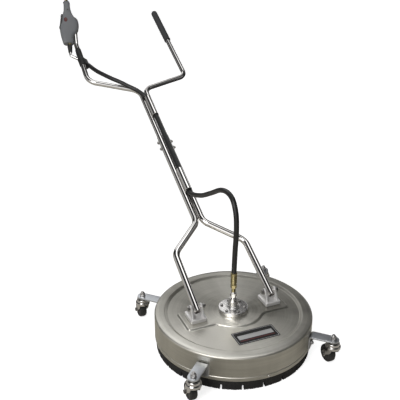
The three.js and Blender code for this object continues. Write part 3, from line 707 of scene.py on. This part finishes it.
def build_brush():
    """A ring of packed bristle: fine ribs down its sides, uneven tips and a slot between tufts."""
    per_tuft = 56
    sector = TAU / NOTCHES
    hair = 1e-4
    angles, tips = [], []
    for tuft in range(NOTCHES):
        slot_at = FIRST_NOTCH + tuft * sector
        angles += [slot_at - NOTCH_HALF + hair, slot_at, slot_at + NOTCH_HALF - hair]
        tips += [NOTCH_TOP, NOTCH_TOP + 0.5, NOTCH_TOP]
        angles += list(np.linspace(slot_at + NOTCH_HALF, slot_at + sector - NOTCH_HALF, per_tuft))
        tips += list(0.2 + 2.2 * noise_line(per_tuft, tuft) ** 2)
    ripple = 0.9 * noise_line(len(angles), 99)
    columns = []
    for angle, tip, dent in zip(angles, tips, ripple):
        outer, inner = SKIRT_OUTER - dent, SKIRT_INNER + dent
        bulge = 0.35 * dent
        section = [
            (SKIRT_OUTER, SKIRT_TOP), (outer, SKIRT_TOP - 2), (outer - bulge, (SKIRT_TOP + tip) / 2),
            (outer - 0.4, tip), (inner + 0.4, tip), (inner + bulge, (SKIRT_TOP + tip) / 2),
            (inner, SKIRT_TOP - 2), (SKIRT_INNER, SKIRT_TOP),
        ]
        columns.append([(r * math.cos(angle), r * math.sin(angle), z) for r, z in section])
    skirt = loft([np.array(column) for column in columns], wrap=True)
    refine("brush_skirt", skirt, BRISTLE, "deck", "black_bristle", sharp=30)
    low, high = SKIRT_TOP + GAP, 44
    holder = washer(SKIRT_OUTER, 244, low, high, 256, 0.6)
    refine("brush_strip", holder, DARK, "deck", "black_strip")


# ---------------------------------------------------------------- casters
ARM_HALF_WIDTH = 18
ARM_SHEET = 5
ARM_TOP = 92
ARM_BOTTOM = 44
ARM_BOLTS = (78, 62)
TRAIL = 22
WHEEL_RADIUS = 28.5
WHEEL_HALF = 12.5
CHEEK_INNER = WHEEL_HALF + 1.6
CHEEK_SHEET = 3


def arm_shell():
    """A flat bar: up the wall, over a tight bend and out to a round end over the caster's stem."""
    wall = DECK_RADIUS + GAP + ARM_SHEET / 2
    level = ARM_TOP - ARM_SHEET / 2
    tip = CASTER_CIRCLE + ARM_HALF_WIDTH
    spine = bent([(wall, 0, ARM_BOTTOM), (wall, 0, level), (tip - 0.6, 0, level)], 6.5, 1.2, 3)
    ends = [CASTER_CIRCLE + ARM_HALF_WIDTH * math.sin(math.radians(turn)) for turn in range(5, 88, 6)]
    flat = [point for point in spine if point[0] <= CASTER_CIRCLE]
    spine = np.array([*flat, *[(x, 0, level) for x in ends]])
    tangents = np.gradient(spine, axis=0)
    tangents /= np.linalg.norm(tangents, axis=1, keepdims=True)
    rings = []
    corner = 4.0
    for point, tangent in zip(spine, tangents):
        half = ARM_HALF_WIDTH
        if point[0] > CASTER_CIRCLE:
            half = math.sqrt(max(1.0, ARM_HALF_WIDTH**2 - (point[0] - CASTER_CIRCLE) ** 2))
        foot = point[2] - ARM_BOTTOM
        if foot < corner:
            half -= corner - math.sqrt(corner**2 - (corner - foot) ** 2)
        depth = ARM_SHEET / 2
        outline = rounded([(-half, -depth), (half, -depth), (half, depth), (-half, depth)], 0.9, 3)
        across = np.array([0, 1.0, 0])
        outward = np.cross(across, tangent)
        rings.append(point + outline[:, :1] * across + outline[:, 1:] * outward)
    return loft(rings)


def arm_bolt_shells():
    inside = DECK_RADIUS - 4.6
    outside = DECK_RADIUS + ARM_SHEET + 0.8
    strap = block((inside - 3, -11, ARM_BOTTOM + 4), (inside, 11, ARM_TOP - 4), 0.8, 1.4)
    shells = [strap]
    for height in ARM_BOLTS:
        nut = merge(
            solid_lathe([(3.9, inside - 4), (3.9, outside + 5)], 20, 0),
            hex_head(11, outside - 0.3, outside + 5.6),
            bolt_end(3.9, outside + 5, outside + 8),
            hex_head(11, inside - 7, inside - 3),
        )
        shells.append(shifted(moved(nut, ALONG_X), z=height))
    return merge(*shells)


def fork_shell():
    """Two rolled race rings with a pressed fork whose cheeks reach down to the axle."""
    race = solid_lathe(
        [
            (0.3, 61), (21.5, 61), (24, 63), (24, 70), (21, 72.4), (20.2, 73.4), (20.2, 80), (18, 82),
            (0.3, 82),
        ],
        64, 1.1,
    )
    outline = rounded(
        [(-16, 63.5), (-9, 46), (TRAIL - 10, 31), (TRAIL - 6.5, 20), (TRAIL + 6.5, 20), (TRAIL + 8.5, 32),
         (25, 46), (17, 63.5)],
        [0.5, 14, 8, 6, 6, 10, 18, 0.5], 5,
    )
    plate = prism(outline, 0, CHEEK_SHEET, 0.7)
    right = shifted(moved(plate, UPRIGHT), CHEEK_INNER)
    left = shifted(moved(plate, UPRIGHT), -CHEEK_INNER - CHEEK_SHEET)
    return merge(race, right, left)


def wheel_shell():
    """A moulded wheel: crowned tread, recessed faces with a rib, and a hub boss."""
    side = [
        (4.4, WHEEL_HALF), (8.2, WHEEL_HALF), (9, 10), (15, 9.4), (20, 10), (21.4, 12), (24.4, 12),
        (27.6, 9),
    ]
    tread = [(WHEEL_RADIUS, 4.5), (WHEEL_RADIUS, -4.5)]
    profile = [*side, *tread, *[(radius, -half) for radius, half in side[::-1]]]
    return moved(lathe(profile[::-1], 64, 0.9), ALONG_X)


def axle_shell():
    outer = CHEEK_INNER + CHEEK_SHEET + 0.4
    shells = [
        solid_lathe([(3.9, -outer - 3), (3.9, outer + 4.4)], 24, 0),
        hex_head(11.4, outer, outer + 4.6),
        bolt_end(3.7, outer + 4, outer + 6),
        hex_head(11.4, -outer - 4.2, -outer),
    ]
    return moved(merge(*shells), ALONG_X)


def stem_shell():
    return merge(
        washer(9.6, 4, ARM_TOP + 0.4, ARM_TOP + 2.2),
        hex_head(15, ARM_TOP + 2.2, ARM_TOP + 11.2),
        bolt_end(4.9, ARM_TOP + 10, ARM_TOP + 16.5),
        solid_lathe([(4.9, 57), (4.9, ARM_TOP + 4)], 24, 0),
        hex_head(12.6, 55.2, 60.6),
    )


def build_casters():
    arm, bolts, stem = arm_shell(), arm_bolt_shells(), stem_shell()
    fork, wheel, axle = fork_shell(), wheel_shell(), axle_shell()
    cup = lathe([(16.5, 82.4), (16.5, 84.8), (15, 86.6), (5.6, 86.6), (5.6, 82.4)], 48, 0.8)
    for corner, degrees in CORNERS.items():
        angle = math.radians(degrees)
        x, y = CASTER_CIRCLE * math.cos(angle), CASTER_CIRCLE * math.sin(angle)
        hub = (x, y + TRAIL, WHEEL_RADIUS)
        swivel = f"swivel_{corner}"
        for part, shell, material, body, slot in (
            ("caster_arm", turned(arm, degrees), ZINC, "deck", "zinc_plated_arm"),
            ("arm_bolts", turned(bolts, degrees), DARK_BOLT, "deck", "nickel_plate"),
            ("stem_bolt", shifted(stem, x, y), BOLT, "deck", "nickel_plate"),
            ("caster_fork", shifted(fork, x, y), NICKEL, swivel, "nickel_plate"),
            ("caster_wheel", shifted(wheel, *hub), WHEEL, f"wheel_{corner}", "black_wheel"),
            ("wheel_axle", shifted(axle, *hub), DARK_BOLT, swivel, "nickel_plate"),
        ):
            refine(f"{part}_{corner}", shell, material, body, slot)
        piece(f"caster_cup_{corner}", shifted(cup, x, y), DARK_STEEL, "deck", slot="dark_plastic")


# ---------------------------------------------------------------- hub, coupling and rotor
FLANGE_BOTTOM = PAD_TOP + GAP
FLANGE_TOP = 131
FLANGE_RADIUS = 48
BOLT_CIRCLE = 37
HUB_TOP = 163
SHAFT_BORE = 8.4
COUPLING_TOP = 250


def ring_of(shell, radius, count=6):
    return [turned(shifted(shell, radius), 360 * (i + 0.5) / count) for i in range(count)]


def build_hub():
    housing = lathe(
        [
            (SHAFT_BORE, 82), (23.5, 82), (23.5, FLANGE_BOTTOM), (FLANGE_RADIUS, FLANGE_BOTTOM),
            (FLANGE_RADIUS, FLANGE_TOP), (21.5, FLANGE_TOP), (20.5, 135.5), (17.5, 137), (15, 154),
            (13.4, 156), (13.4, HUB_TOP), (SHAFT_BORE, HUB_TOP),
        ],
        96, [0.3, 0.5, 0.3, 0.8, 2.2, 1.2, 0.8, 1, 1, 0.6, 0.8, 0.3],
    )
    refine("swivel_housing", housing, HUB, "deck", "nickel_plate")

    under = DISC_TOP - DECK_SHEET - GAP
    ring = washer(FLANGE_RADIUS, 26, under - 4, under, 64, 0.6)
    stud = merge(
        hex_head(8.6, FLANGE_TOP + 0.2, FLANGE_TOP + 3.8),
        bolt_end(2.7, FLANGE_TOP + 3, FLANGE_TOP + 5),
        solid_lathe([(2.9, under - 2), (2.9, FLANGE_TOP + 2)], 16, 0),
    )
    studs = merge(ring, *ring_of(stud, BOLT_CIRCLE))
    refine("flange_bolt_ring", studs, FLANGE_BOLT, "deck", "nickel_plate")

    nipple = merge(
        solid_lathe([(7.5, HUB_TOP + 0.4), (9.2, 164), (9.2, 166), (8.4, 167)], 48, 0.4),
        hex_head(18.6, 166.6, 181),
        solid_lathe([(8.6, 180.6), (7.4, 182.4), (7.4, 186)], 48, 0.6),
    )
    piece("hub_nipple", nipple, HUB, "deck", slot="nickel_plate")
    coupling = merge(
        solid_lathe([(6.9, 186), (6.9, 199.8)], 48, 0.4),
        hex_head(17.6, 199.4, 212.4),
        solid_lathe([(7.6, 212), (7, 214), (7, 219)], 48, 0.5),
    )
    ferrule_top = COUPLING_TOP + 4
    radius = 10.4
    ferrule_profile = [(8.4, 217), (radius, 218.4)]
    for index in range(4):
        crimp = 223 + index * 7
        ferrule_profile += [(radius, crimp - 1.2), (radius - 0.5, crimp)]
        ferrule_profile += [(radius - 0.5, crimp + 2), (radius, crimp + 3.2)]
    ferrule_profile += [(radius, ferrule_top - 1), (8.8, ferrule_top)]
    ferrule = solid_lathe(ferrule_profile, 64, 0.5)
    refine("hose_coupling", coupling, YELLOW, "deck", "yellow_brass")
    piece("hose_ferrule", ferrule, YELLOW, "deck", slot="yellow_brass")


def build_rotor():
    shaft = lathe(
        [(4, 48), (14, 48), (14, 76), (8, 77), (8, 132), (4, 132)], 64, [0.6, 1.5, 1.5, 1, 0.8, 0.5]
    )
    refine("swivel_shaft", shaft, NICKEL, "rotor", "steel_shaft")
    low, high = 88, 100
    bearing = merge(
        washer(11, SHAFT_BORE, low, high, 48, 0.5),
        washer(16.6, 13.5, low, high, 48, 0.5),
        washer(13.5, 11, low + 1.5, high - 1.5, 48, 0.2),
    )
    refine("shaft_bearing", bearing, NICKEL, "deck", "nickel_plate")
    low, high = 108, 115
    seal = lathe(
        [
            (SHAFT_BORE, low), (16.6, low), (16.6, high), (12, high), (11, high - 4),
            (SHAFT_BORE, high - 2.5),
        ],
        48, 0.6,
    )
    refine("shaft_seal", seal, RUBBER, "deck", "black_rubber")
    reach, height, radius = 206, 62, 9
    drop = height - 12
    path = [(-reach, 0, drop), (-reach, 0, height), (reach, 0, height), (reach, 0, drop)]
    bar = rod(bent(path, 8, 1.5), radius)
    refine("spray_bar", bar, CHROME, "rotor", "bright_tube")
    for side, sign in (("left", -1), ("right", 1)):
        nozzle = merge(
            hex_head(13, 36, 44), solid_lathe([(3, 29), (5.4, 31), (6.2, 36.4)], 32, 0.6)
        )
        refine(f"nozzle_{side}", shifted(nozzle, sign * (reach + 1)), YELLOW, "rotor", "yellow_brass")


# ---------------------------------------------------------------- brackets
PIVOT_SPACING = 130
EAR_INNER = 14.5
EAR_SHEET = 6
EAR_HALF_DEPTH = 28


def bracket_shell():
    """A cast block with two upright ears whose tops are round about the pivot bolt."""
    bottom, top = PAD_TOP + GAP, PAD_TOP + 13.4
    base = block((-27, -31, bottom), (27, 31, top), 1.8, 4)
    radius = 11.5
    shoulder = circle(radius, 17, (0, PIVOT_HEIGHT), 0, math.pi)
    outline = [(-EAR_HALF_DEPTH, top - 1), (EAR_HALF_DEPTH, top - 1), *shoulder]
    ear = prism(rounded(outline, [0.2, 0.2] + [0] * len(shoulder), 1), 0, EAR_SHEET, 1.1, 3)
    ears = [shifted(moved(ear, UPRIGHT), start) for start in (-EAR_INNER - EAR_SHEET, EAR_INNER)]
    gussets = []
    for start in (-EAR_INNER - EAR_SHEET - 0.6, EAR_INNER - 0.6):
        low = (start, -EAR_HALF_DEPTH - 0.5, top - 1)
        high = (start + EAR_SHEET + 1.2, EAR_HALF_DEPTH + 0.5, top + 2)
        gussets.append(block(low, high, 1.0, 1.6))
    return merge(base, *ears, *gussets)


def pivot_bolt_shell():
    outer = EAR_INNER + EAR_SHEET + 0.4
    shells = [
        washer(10, 5, outer, outer + 1.6),
        hex_head(15.4, outer + 1.6, outer + 8),
        bolt_end(4.9, outer + 7, outer + 11),
        washer(10, 5, -outer - 1.6, -outer),
        hex_head(15.4, -outer - 7.4, -outer - 1.6),
        solid_lathe([(4.9, -outer - 2), (4.9, outer + 8)], 24, 0),
    ]
    return moved(merge(*shells), ALONG_X)


def build_brackets():
    for side, sign in (("left", -1), ("right", 1)):
        x = sign * PIVOT_SPACING
        bracket = shifted(bracket_shell(), x)
        refine(f"handle_bracket_{side}", bracket, CAST, "deck", "nickel_plate")
        bolt = shifted(pivot_bolt_shell(), x, 0, PIVOT_HEIGHT)
        refine(f"pivot_bolt_{side}", bolt, BOLT, "deck", "nickel_plate")


# ---------------------------------------------------------------- handle
LOWER_RADIUS = 11.4
UPPER_RADIUS = 10
PAIR_HALF = 11.9
MOUTH = 739
GRIP_FROM = 1308
GRIP_TO = 1514
BAR_OFFSET = 27
BAR_DEPTH = 112
# Each bar's inner and outer corner up the handle, its reach out from the middle, and its bend's radius.
CROSSBAR = {"left": (1003, 1087, 204, 50), "right": (1012, 1069, 208, 40)}


def build_tubes():
    for side, sign in (("left", -1), ("right", 1)):
        lower = bent(
            [
                (sign * PIVOT_SPACING, -17, 0), (sign * (PIVOT_SPACING - 2), 209, 0),
                (sign * PAIR_HALF, 318, 0), (sign * PAIR_HALF, MOUTH, 0),
            ],
            48,
        )
        shell = pipe(lower, LOWER_RADIUS, LOWER_RADIUS - 1.1, 48)
        refine(f"lower_tube_{side}", shell, CHROME, "handle", "bright_tube", place=HANDLE)
        inner_corner, outer_corner, spread, bend = CROSSBAR[side]
        if side == "left":
            end = [gun_point(BAR_OFFSET, 0), gun_point(BAR_OFFSET, BAR_DEPTH)]
        else:
            end = [(spread, GRIP_TO - 14, 0)]
        upper = bent(
            [
                (sign * PAIR_HALF, 640, 0), (sign * PAIR_HALF, inner_corner, 0),
                (sign * spread, outer_corner, 0), *end,
            ],
            bend,
        )
        shell = pipe(upper, UPPER_RADIUS, UPPER_RADIUS - 1.2, 48)
        refine(f"upper_tube_{side}", shell, CHROME, "handle", "bright_tube", place=HANDLE)
    for name, station in (("joint_bolt_lower", 677), ("joint_bolt_upper", 709)):
        bolt = merge(
            solid_lathe([(3.1, -29), (3.1, 29)], 20, 0),
            hex_head(10.6, -30, -25.5),
            washer(7, 3, -25.4, -24.2),
            washer(7, 3, 23.6, 24.8),
            hex_head(10.6, 24.8, 29.6),
            bolt_end(3.0, 29, 32.5),
        )
        shell = shifted(moved(bolt, ALONG_X), 0, station)
        refine(name, shell, BOLT, "handle", "nickel_plate", place=HANDLE)


def build_grip():
    """A moulded sleeve with a rolled foot, shallow rings and a domed end."""
    depth = GRIP_TO - GRIP_FROM
    profile = [(10.4, 0), (13.4, 0), (14, 2.5), (14, 6), (13.2, 8.5)]
    for ring in range(5):
        start = 16 + ring * 34
        profile += [(13.3, start), (13.75, start + 3), (13.75, start + 28), (13.3, start + 31)]
    profile += [(13.6, depth - 14), (13.2, depth - 6), (10.5, depth - 1.4), (5, depth), (0.4, depth)]
    profile += [(0.4, depth - 13), (10.4, depth - 13)]
    shell = shifted(moved(lathe(profile, 64, 0.9), ALONG_Y), CROSSBAR["right"][2], GRIP_FROM)
    refine("grip", shell, GRIP, "handle", "grip_rubber", place=HANDLE)


# Where each hose guide starts and ends, how high it stands, and the radius of the tubes under it.
GUIDES = {"upper": (838, 942, 19.6, UPPER_RADIUS), "lower": (448, 549, 21.1, LOWER_RADIUS)}
GUIDE_RADIUS = 12.4


def build_guides():
    """Short tubes that carry the hose in front of the handle's pair, held by four beads of weld each."""
    for name, (start, end, height, tube) in GUIDES.items():
        line = np.array([(0, s, height) for s in np.linspace(start, end, 12)])
        shells = [pipe(line, GUIDE_RADIUS, GUIDE_RADIUS - 1.6, 48, 0.6)]
        for sign in (-1, 1):
            reach = math.hypot(PAIR_HALF, height)
            share = (tube + 0.2) / reach
            x, z = sign * PAIR_HALF * (1 - share), height * share
            for s in (start + 12, end - 26):
                beads = [(x, s + step, z) for step in np.linspace(0, 14, 8)]
                radii = [0.6, 1.9, 1.6, 2.0, 1.6, 1.9, 1.6, 0.6]
                shells.append(loft(rings_along(np.array(beads), radii, 12)))
        shell = merge(*shells)
        refine(f"hose_guide_{name}", shell, CHROME, "handle", "bright_tube", place=HANDLE)
        bush = lathe([(8.7, -3), (11.4, -3), (11.4, -0.3), (10.5, 0.2), (10.5, 9), (8.7, 9)], 48, 0.7)
        shell = shifted(moved(bush, ALONG_Y), 0, start, height)
        piece(f"guide_bush_{name}", shell, RUBBER, "handle", slot="black_rubber", place=HANDLE)


# ---------------------------------------------------------------- hose
HOSE_RADIUS = 8.4
HOSE_HEIGHT = 20.3


def hose_line():
    """From the hub up in a loop to the lower guide, up the handle and out along the left bar."""
    to_handle = (MACHINE.inverted() @ HANDLE).inverted()
    loop = [
        (0, 0, COUPLING_TOP - 14), (0, 0, COUPLING_TOP), (1, -2, 328), (3, -4, 405), (5, 7, 456),
        (6, 33, 490), (6, 68, 499), (5, 118, 489), (3, 192, 450), (1, 280, 407),
    ]
    loop = [tuple(to_handle @ Vector(point)) for point in loop]
    straight = [(0, s, HOSE_HEIGHT) for s in (440, 500, 600, 700, 800, 900, 940)]
    out = [
        (-11, 955, HOSE_HEIGHT), (-34, 990, HOSE_HEIGHT), (-60, 1017, HOSE_HEIGHT), (-85, 1045, 20),
        (-111, 1072, 18), (-135, 1103, 14), (-153, 1131, 9), (-163, 1154, 4), (-177, 1198, -6),
        (-182, 1222, -14), (-187, 1234, -20),
    ]
    return smooth_line([*loop, *straight, *out], 5)


def build_hose():
    shell = rod(hose_line(), HOSE_RADIUS, 40)
    hose = piece("hose", shell, HOSE, None, ("hose_loop", "hose_upper"), "black_rubber", HANDLE, 60)
    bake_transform(hose)


def bar_point(station):
    """A point of the left bar's straight run, by its distance up the handle."""
    _, outer_corner, spread, _ = CROSSBAR["left"]
    corner, bend = np.array((-spread, outer_corner, 0.0)), np.array(gun_point(BAR_OFFSET, 0))
    return corner + (bend - corner) * (station - corner[1]) / (bend[1] - corner[1])


def build_hose_clip():
    """A rubber boot round the left bar, with a saddle behind it for the hose's end."""
    sleeve = loft(rings_along(
        np.array([bar_point(s) for s in (1186, 1188, 1193, 1230, 1270, 1285, 1290, 1292)]),
        [11.0, 12.2, 13.0, 13.0, 12.6, 12.2, 11.6, 10.9], 48,
    ))
    middle = bar_point(1212)
    saddle_x, saddle_z = -183, -14
    away = math.atan2(saddle_z - middle[2], saddle_x - middle[0])
    saddle = np.concatenate([
        circle(13, 15, (saddle_x, saddle_z), away - math.pi / 2, math.pi),
        circle(13.6, 15, (middle[0], middle[2]), away + math.pi / 2, math.pi),
    ])
    shell = merge(sleeve, shifted(moved(prism(saddle, -20, 20, 3, 4), LAID_DOWN), 0, 1212))
    refine("hose_clip", shell, RUBBER, "handle", "black_rubber", place=HANDLE)


# ---------------------------------------------------------------- gun
GUN_LENGTH = 220
GUN_HALF = 18
GUN_STATIONS = 90
# How far the moulding reaches left and right of the valve's axis, by distance along it.
GUN_LEFT = [(0, -25), (12, -27), (30, -30.5), (52, -34), (76, -35.5), (92, -33), (108, -26), (128, -23.5),
            (150, -20.5), (170, -16), (190, -13), (GUN_LENGTH, -12)]
GUN_RIGHT = [(0, 17.5), (32, 19), (44, 26), (58, 35), (78, 42.5), (100, 44.5), (120, 42), (131, 36.5),
             (134, 30), (142, 26), (156, 20), (176, 15.5), (196, 14), (GUN_LENGTH, 14.5)]
GUN_DEPTH = [(0, 14), (12, 16.5), (34, GUN_HALF), (125, GUN_HALF), (150, 16), (185, 13.5), (GUN_LENGTH, 13.5)]
TRIGGER_PIVOT = (-23, 80)
TRIGGER_TIP = 152
TRIGGER_HALF = 6.4
LATCH_PIVOT = (-26, 137)


def along(table, places):
    """A smooth curve through (place, value) pairs, read at the places."""
    curve = smooth_line([(place, value, 0) for place, value in table], 2)
    return np.interp(places, curve[:, 0], curve[:, 1])


def gun_half(sign):
    """Half of the gun's moulding on one side of its parting line, with soft sides and a seam groove."""
    places = np.linspace(0, GUN_LENGTH, GUN_STATIONS)
    left, right, depth = (along(table, places) for table in (GUN_LEFT, GUN_RIGHT, GUN_DEPTH))
    ends = np.minimum(1, 0.86 + np.minimum(places, GUN_LENGTH - places) / 4 * 0.14)
    angles = np.linspace(0, math.pi, 29)
    squareness = 2 / 3.4
    cosines, sines = np.cos(angles), np.sin(angles)
    wide = np.sign(cosines) * np.abs(cosines) ** squareness
    tall = np.abs(sines) ** squareness
    seam = 0.2
    groove = np.where(tall * 15 < 1.2, 0.985, 1.0)
    rings = []
    for y, low, high, half, end in zip(places, left, right, depth, ends):
        middle, reach = (low + high) / 2, (high - low) / 2
        x = middle + reach * wide * groove * end
        z = seam + (half * end - seam) * tall
        rings.append(np.stack([x, np.full(len(x), y), sign * z], 1))
    return loft(rings)


def trigger_outline():
    x, y = TRIGGER_PIVOT
    corners = [
        (x + 6, y), (x + 4, y + 18), (x + 4, TRIGGER_TIP), (x - 3, TRIGGER_TIP + 3), (x - 8, 128),
        (x - 11, 104), (x - 15, y + 6), (x - 12, y - 3), (x - 3, y - 6), (x + 4, y - 5),
    ]
    return rounded(corners, [2, 8, 2.5, 3, 20, 20, 4, 4, 4, 3], 5)


def build_gun():
    x, y = TRIGGER_PIVOT
    room = TRIGGER_HALF + 0.8
    pocket = block((-60, y - 16, -room), (-8, TRIGGER_TIP + 8, room), 1.2, 3)
    options = {"place": GUN, "sharp": 34}
    for name, sign in (("front", 1), ("rear", -1)):
        shell = carved(gun_half(sign), pocket)
        refine(f"gun_shell_{name}", shell, GREY, "handle", "grey_plastic", **options)

    for name, half_width, half_length, sunk, thick, bevel, steps, material in (
        ("gun_badge_rim", 7.7, 12.8, 1.4, 0.9, 0.4, 2, DARK),
        ("gun_badge", 6.6, 11.6, 1.5, 1.5, 0.6, 3, BADGE),
    ):
        oval = prism(circle(1, 48) * (half_width, half_length), 0, thick, bevel, steps)
        oval = shifted(turned(oval, -7, "Y"), -10.6, 115, GUN_HALF - sunk)
        piece(name, oval, material, "handle", slot="dark_plastic", **options)
    screws = []
    for sx, sy in ((8, 22), (34, 60), (33, 118), (1, 172)):
        screws.append(shifted(washer(3.2, 1.2, 0, 1.6, 24), sx, sy, 15.2))
    piece("gun_screws", merge(*screws), DARK_STEEL, "handle", slot="steel_shaft", **options)

    valve = merge(
        solid_lathe([(8.6, -6), (8.6, 90), (5.4, 96), (5.4, GUN_LENGTH + 2)], 40, 0.5),
        hex_head(17, GUN_LENGTH + 2, GUN_LENGTH + 7),
        bolt_end(7.6, GUN_LENGTH + 6, GUN_LENGTH + 15, 1.8),
    )
    refine("gun_valve", moved(valve, ALONG_Y), YELLOW, "handle", "yellow_brass", **options)
    low, high = GUN_LENGTH + 0.3, GUN_LENGTH + 1.8
    collar = lathe([(6, low), (14, low), (13.4, high), (6, high)], 48, 0.4)
    refine("inlet_collar", moved(collar, ALONG_Y), DARK, "handle", "dark_plastic", **options)
    boot = lathe([(6.4, -43), (7.8, -43), (8.2, -40), (10.6, -11), (10.2, -8.4), (6.4, -8.4)], 48, 1.2)
    refine("outlet_boot", moved(boot, ALONG_Y), DARK, "handle", "dark_plastic", **options)
    outlet = bent([gun_point(0, -8), gun_point(0, -58), (-190, 1245, -23.7), (-187.1, 1234.4, -20.1)], 14, 2)
    refine("gun_outlet_pipe", rod(outlet, 6, 32), CHROME, "handle", "bright_tube", place=HANDLE)


def build_trigger():
    x, y = TRIGGER_PIVOT
    pin = shifted(solid_lathe([(2.5, -13), (2.5, 13)], 20, 0.4), x, y)
    blade = prism(trigger_outline(), -TRIGGER_HALF, TRIGGER_HALF, 1.3, 3)
    slot_box = block((-60, LATCH_PIVOT[1] - 5, -2.4), (0, TRIGGER_TIP + 9, 2.4), 0.3)
    shell = merge(carved(blade, slot_box), pin)
    refine("trigger", shell, DARK, "trigger", "dark_plastic", place=GUN, sharp=34)
    lx, ly = LATCH_PIVOT
    outline = rounded(
        [(lx - 2.6, ly - 2.6), (lx + 2.6, ly - 2.6), (lx + 2.7, ly + 13), (lx - 3, ly + 13)], 1.6, 4
    )
    latch = prism(outline, -2, 2, 0.5)
    refine("safety_latch", latch, LATCH, "latch", "dark_plastic", place=GUN, sharp=34)


build_deck()
build_label()
build_brush()
build_casters()
build_hub()
build_rotor()
build_brackets()
build_tubes()
build_grip()
build_guides()
build_hose()
build_hose_clip()
build_gun()
build_trigger()


# ---------------------------------------------------------------- floor, light and camera
def build_floor():
    """A pale sheet: white to the camera; to the metal it shows a painted pool of light, cream nearby and dark
    further off.
    """
    reach = 14.0
    corners = np.array([(-reach, -reach, 0), (reach, -reach, 0), (reach, reach, 0), (-reach, reach, 0)])
    mesh = bpy.data.meshes.new("floor")
    mesh.from_pydata(corners.tolist(), [], [(0, 1, 2, 3)])
    material, tree = new_material("pale_floor")
    seen = add(tree, "LightPath").outputs["Is Camera Ray"]
    place = add(tree, "SeparateXYZ", vector=add(tree, "TexCoord").outputs["Object"])
    behind = times(tree, place.outputs["Y"], 0.6)
    away = plus(tree, place.outputs["X"], behind)
    near = ramp(tree, away, 1.0, 0.0, 0.25, 0.7)
    # painted pool of light for reflections: cream near the deck, dark further off
    painted_light_pool = tinted(tree, near, grey(0.05), (0.70, 0.67, 0.60))
    shader = add(
        tree, "BsdfPrincipled", base_color=tinted(tree, seen, painted_light_pool, grey(0.92)), roughness=0.8,
        emission_color=(1, 1, 1, 1), emission_strength=times(tree, seen, 0.75),
    )
    mesh.materials.append(finish_material(material, tree, shader))
    put_in_scene("floor", mesh)


def build_world():
    """White to the camera; to the metal, a dark studio with large soft boxes."""
    world = bpy.data.worlds.new("studio")
    world.use_nodes = True
    bpy.context.scene.world = world
    tree = world.node_tree
    tree.nodes.clear()
    direction = add(tree, "TexCoord").outputs["Generated"]
    level = 0.03
    boxes = [
        ((0.14, 0.08, 0.98), 0.955, 0.980, 1.25),
        ((-0.95, 0.35, 0.02), 0.80, 0.96, 0.45),
        ((0.02, 0.83, 0.56), 0.90, 0.965, 1.1),
        ((0.75, 0.64, 0.12), 0.94, 0.985, 0.9),
        ((-0.66, -0.66, 0.30), 0.80, 0.95, 1.3),
    ]
    for towards, start, end, strength in boxes:
        centre = tuple(Vector(towards).normalized())
        facing = add(tree, "VectorMath", operation="DOT_PRODUCT", i0=direction, i1=centre).outputs["Value"]
        lit = ramp(tree, facing, 0.0, strength, start, end)
        level = plus(tree, lit, level)
    seen = add(tree, "LightPath").outputs["Is Camera Ray"]
    colour = add(tree, "CombineColor", red=level, green=level, blue=level).outputs["Color"]
    lit_world = add(tree, "Background", color=tinted(tree, seen, colour, (1, 1, 1)))
    output = add(tree, "OutputWorld")
    tree.links.new(lit_world.outputs[0], output.inputs["Surface"])


def aim(holder, position, forward):
    holder.location = position
    holder.rotation_euler = forward.to_track_quat("-Z", "Y").to_euler()


def build_light(name, place, towards, size, power, warmth=0.0):
    light = bpy.data.lights.new(name, "AREA")
    light.shape = "RECTANGLE"
    light.size, light.size_y = size
    light.energy = power
    light.color = (1, 1 - warmth / 2, 1 - warmth)
    aim(put_in_scene(name, light), Vector(place), Vector(towards) - Vector(place))


def build_camera():
    """The viewpoint of the reference view: left of the machine's front, looking down on the deck."""
    position = MACHINE @ Vector((-788.6, -1621.4, 1293.4))
    forward = Vector((0.3510, 0.8458, -0.4018))
    camera = bpy.data.cameras.new("camera")
    camera.lens = 59.1
    camera.sensor_width = 36
    holder = put_in_scene("camera", camera)
    aim(holder, position, forward)
    bpy.context.scene.camera = holder


build_floor()
build_world()
middle = (0, deck_centre.y / MM, 0.3)
build_light("key_light", (-2.6, -2.4, 3.4), middle, (1.8, 1.8), 60, 0.03)
build_light("fill_light", (3.2, -1.6, 2.2), middle, (2.0, 2.6), 3)
build_light("top_light", (0.3, 0.6, 4.2), middle, (2.4, 2.4), 11)
build_camera()
bpy.context.scene.view_settings.view_transform = "Standard"
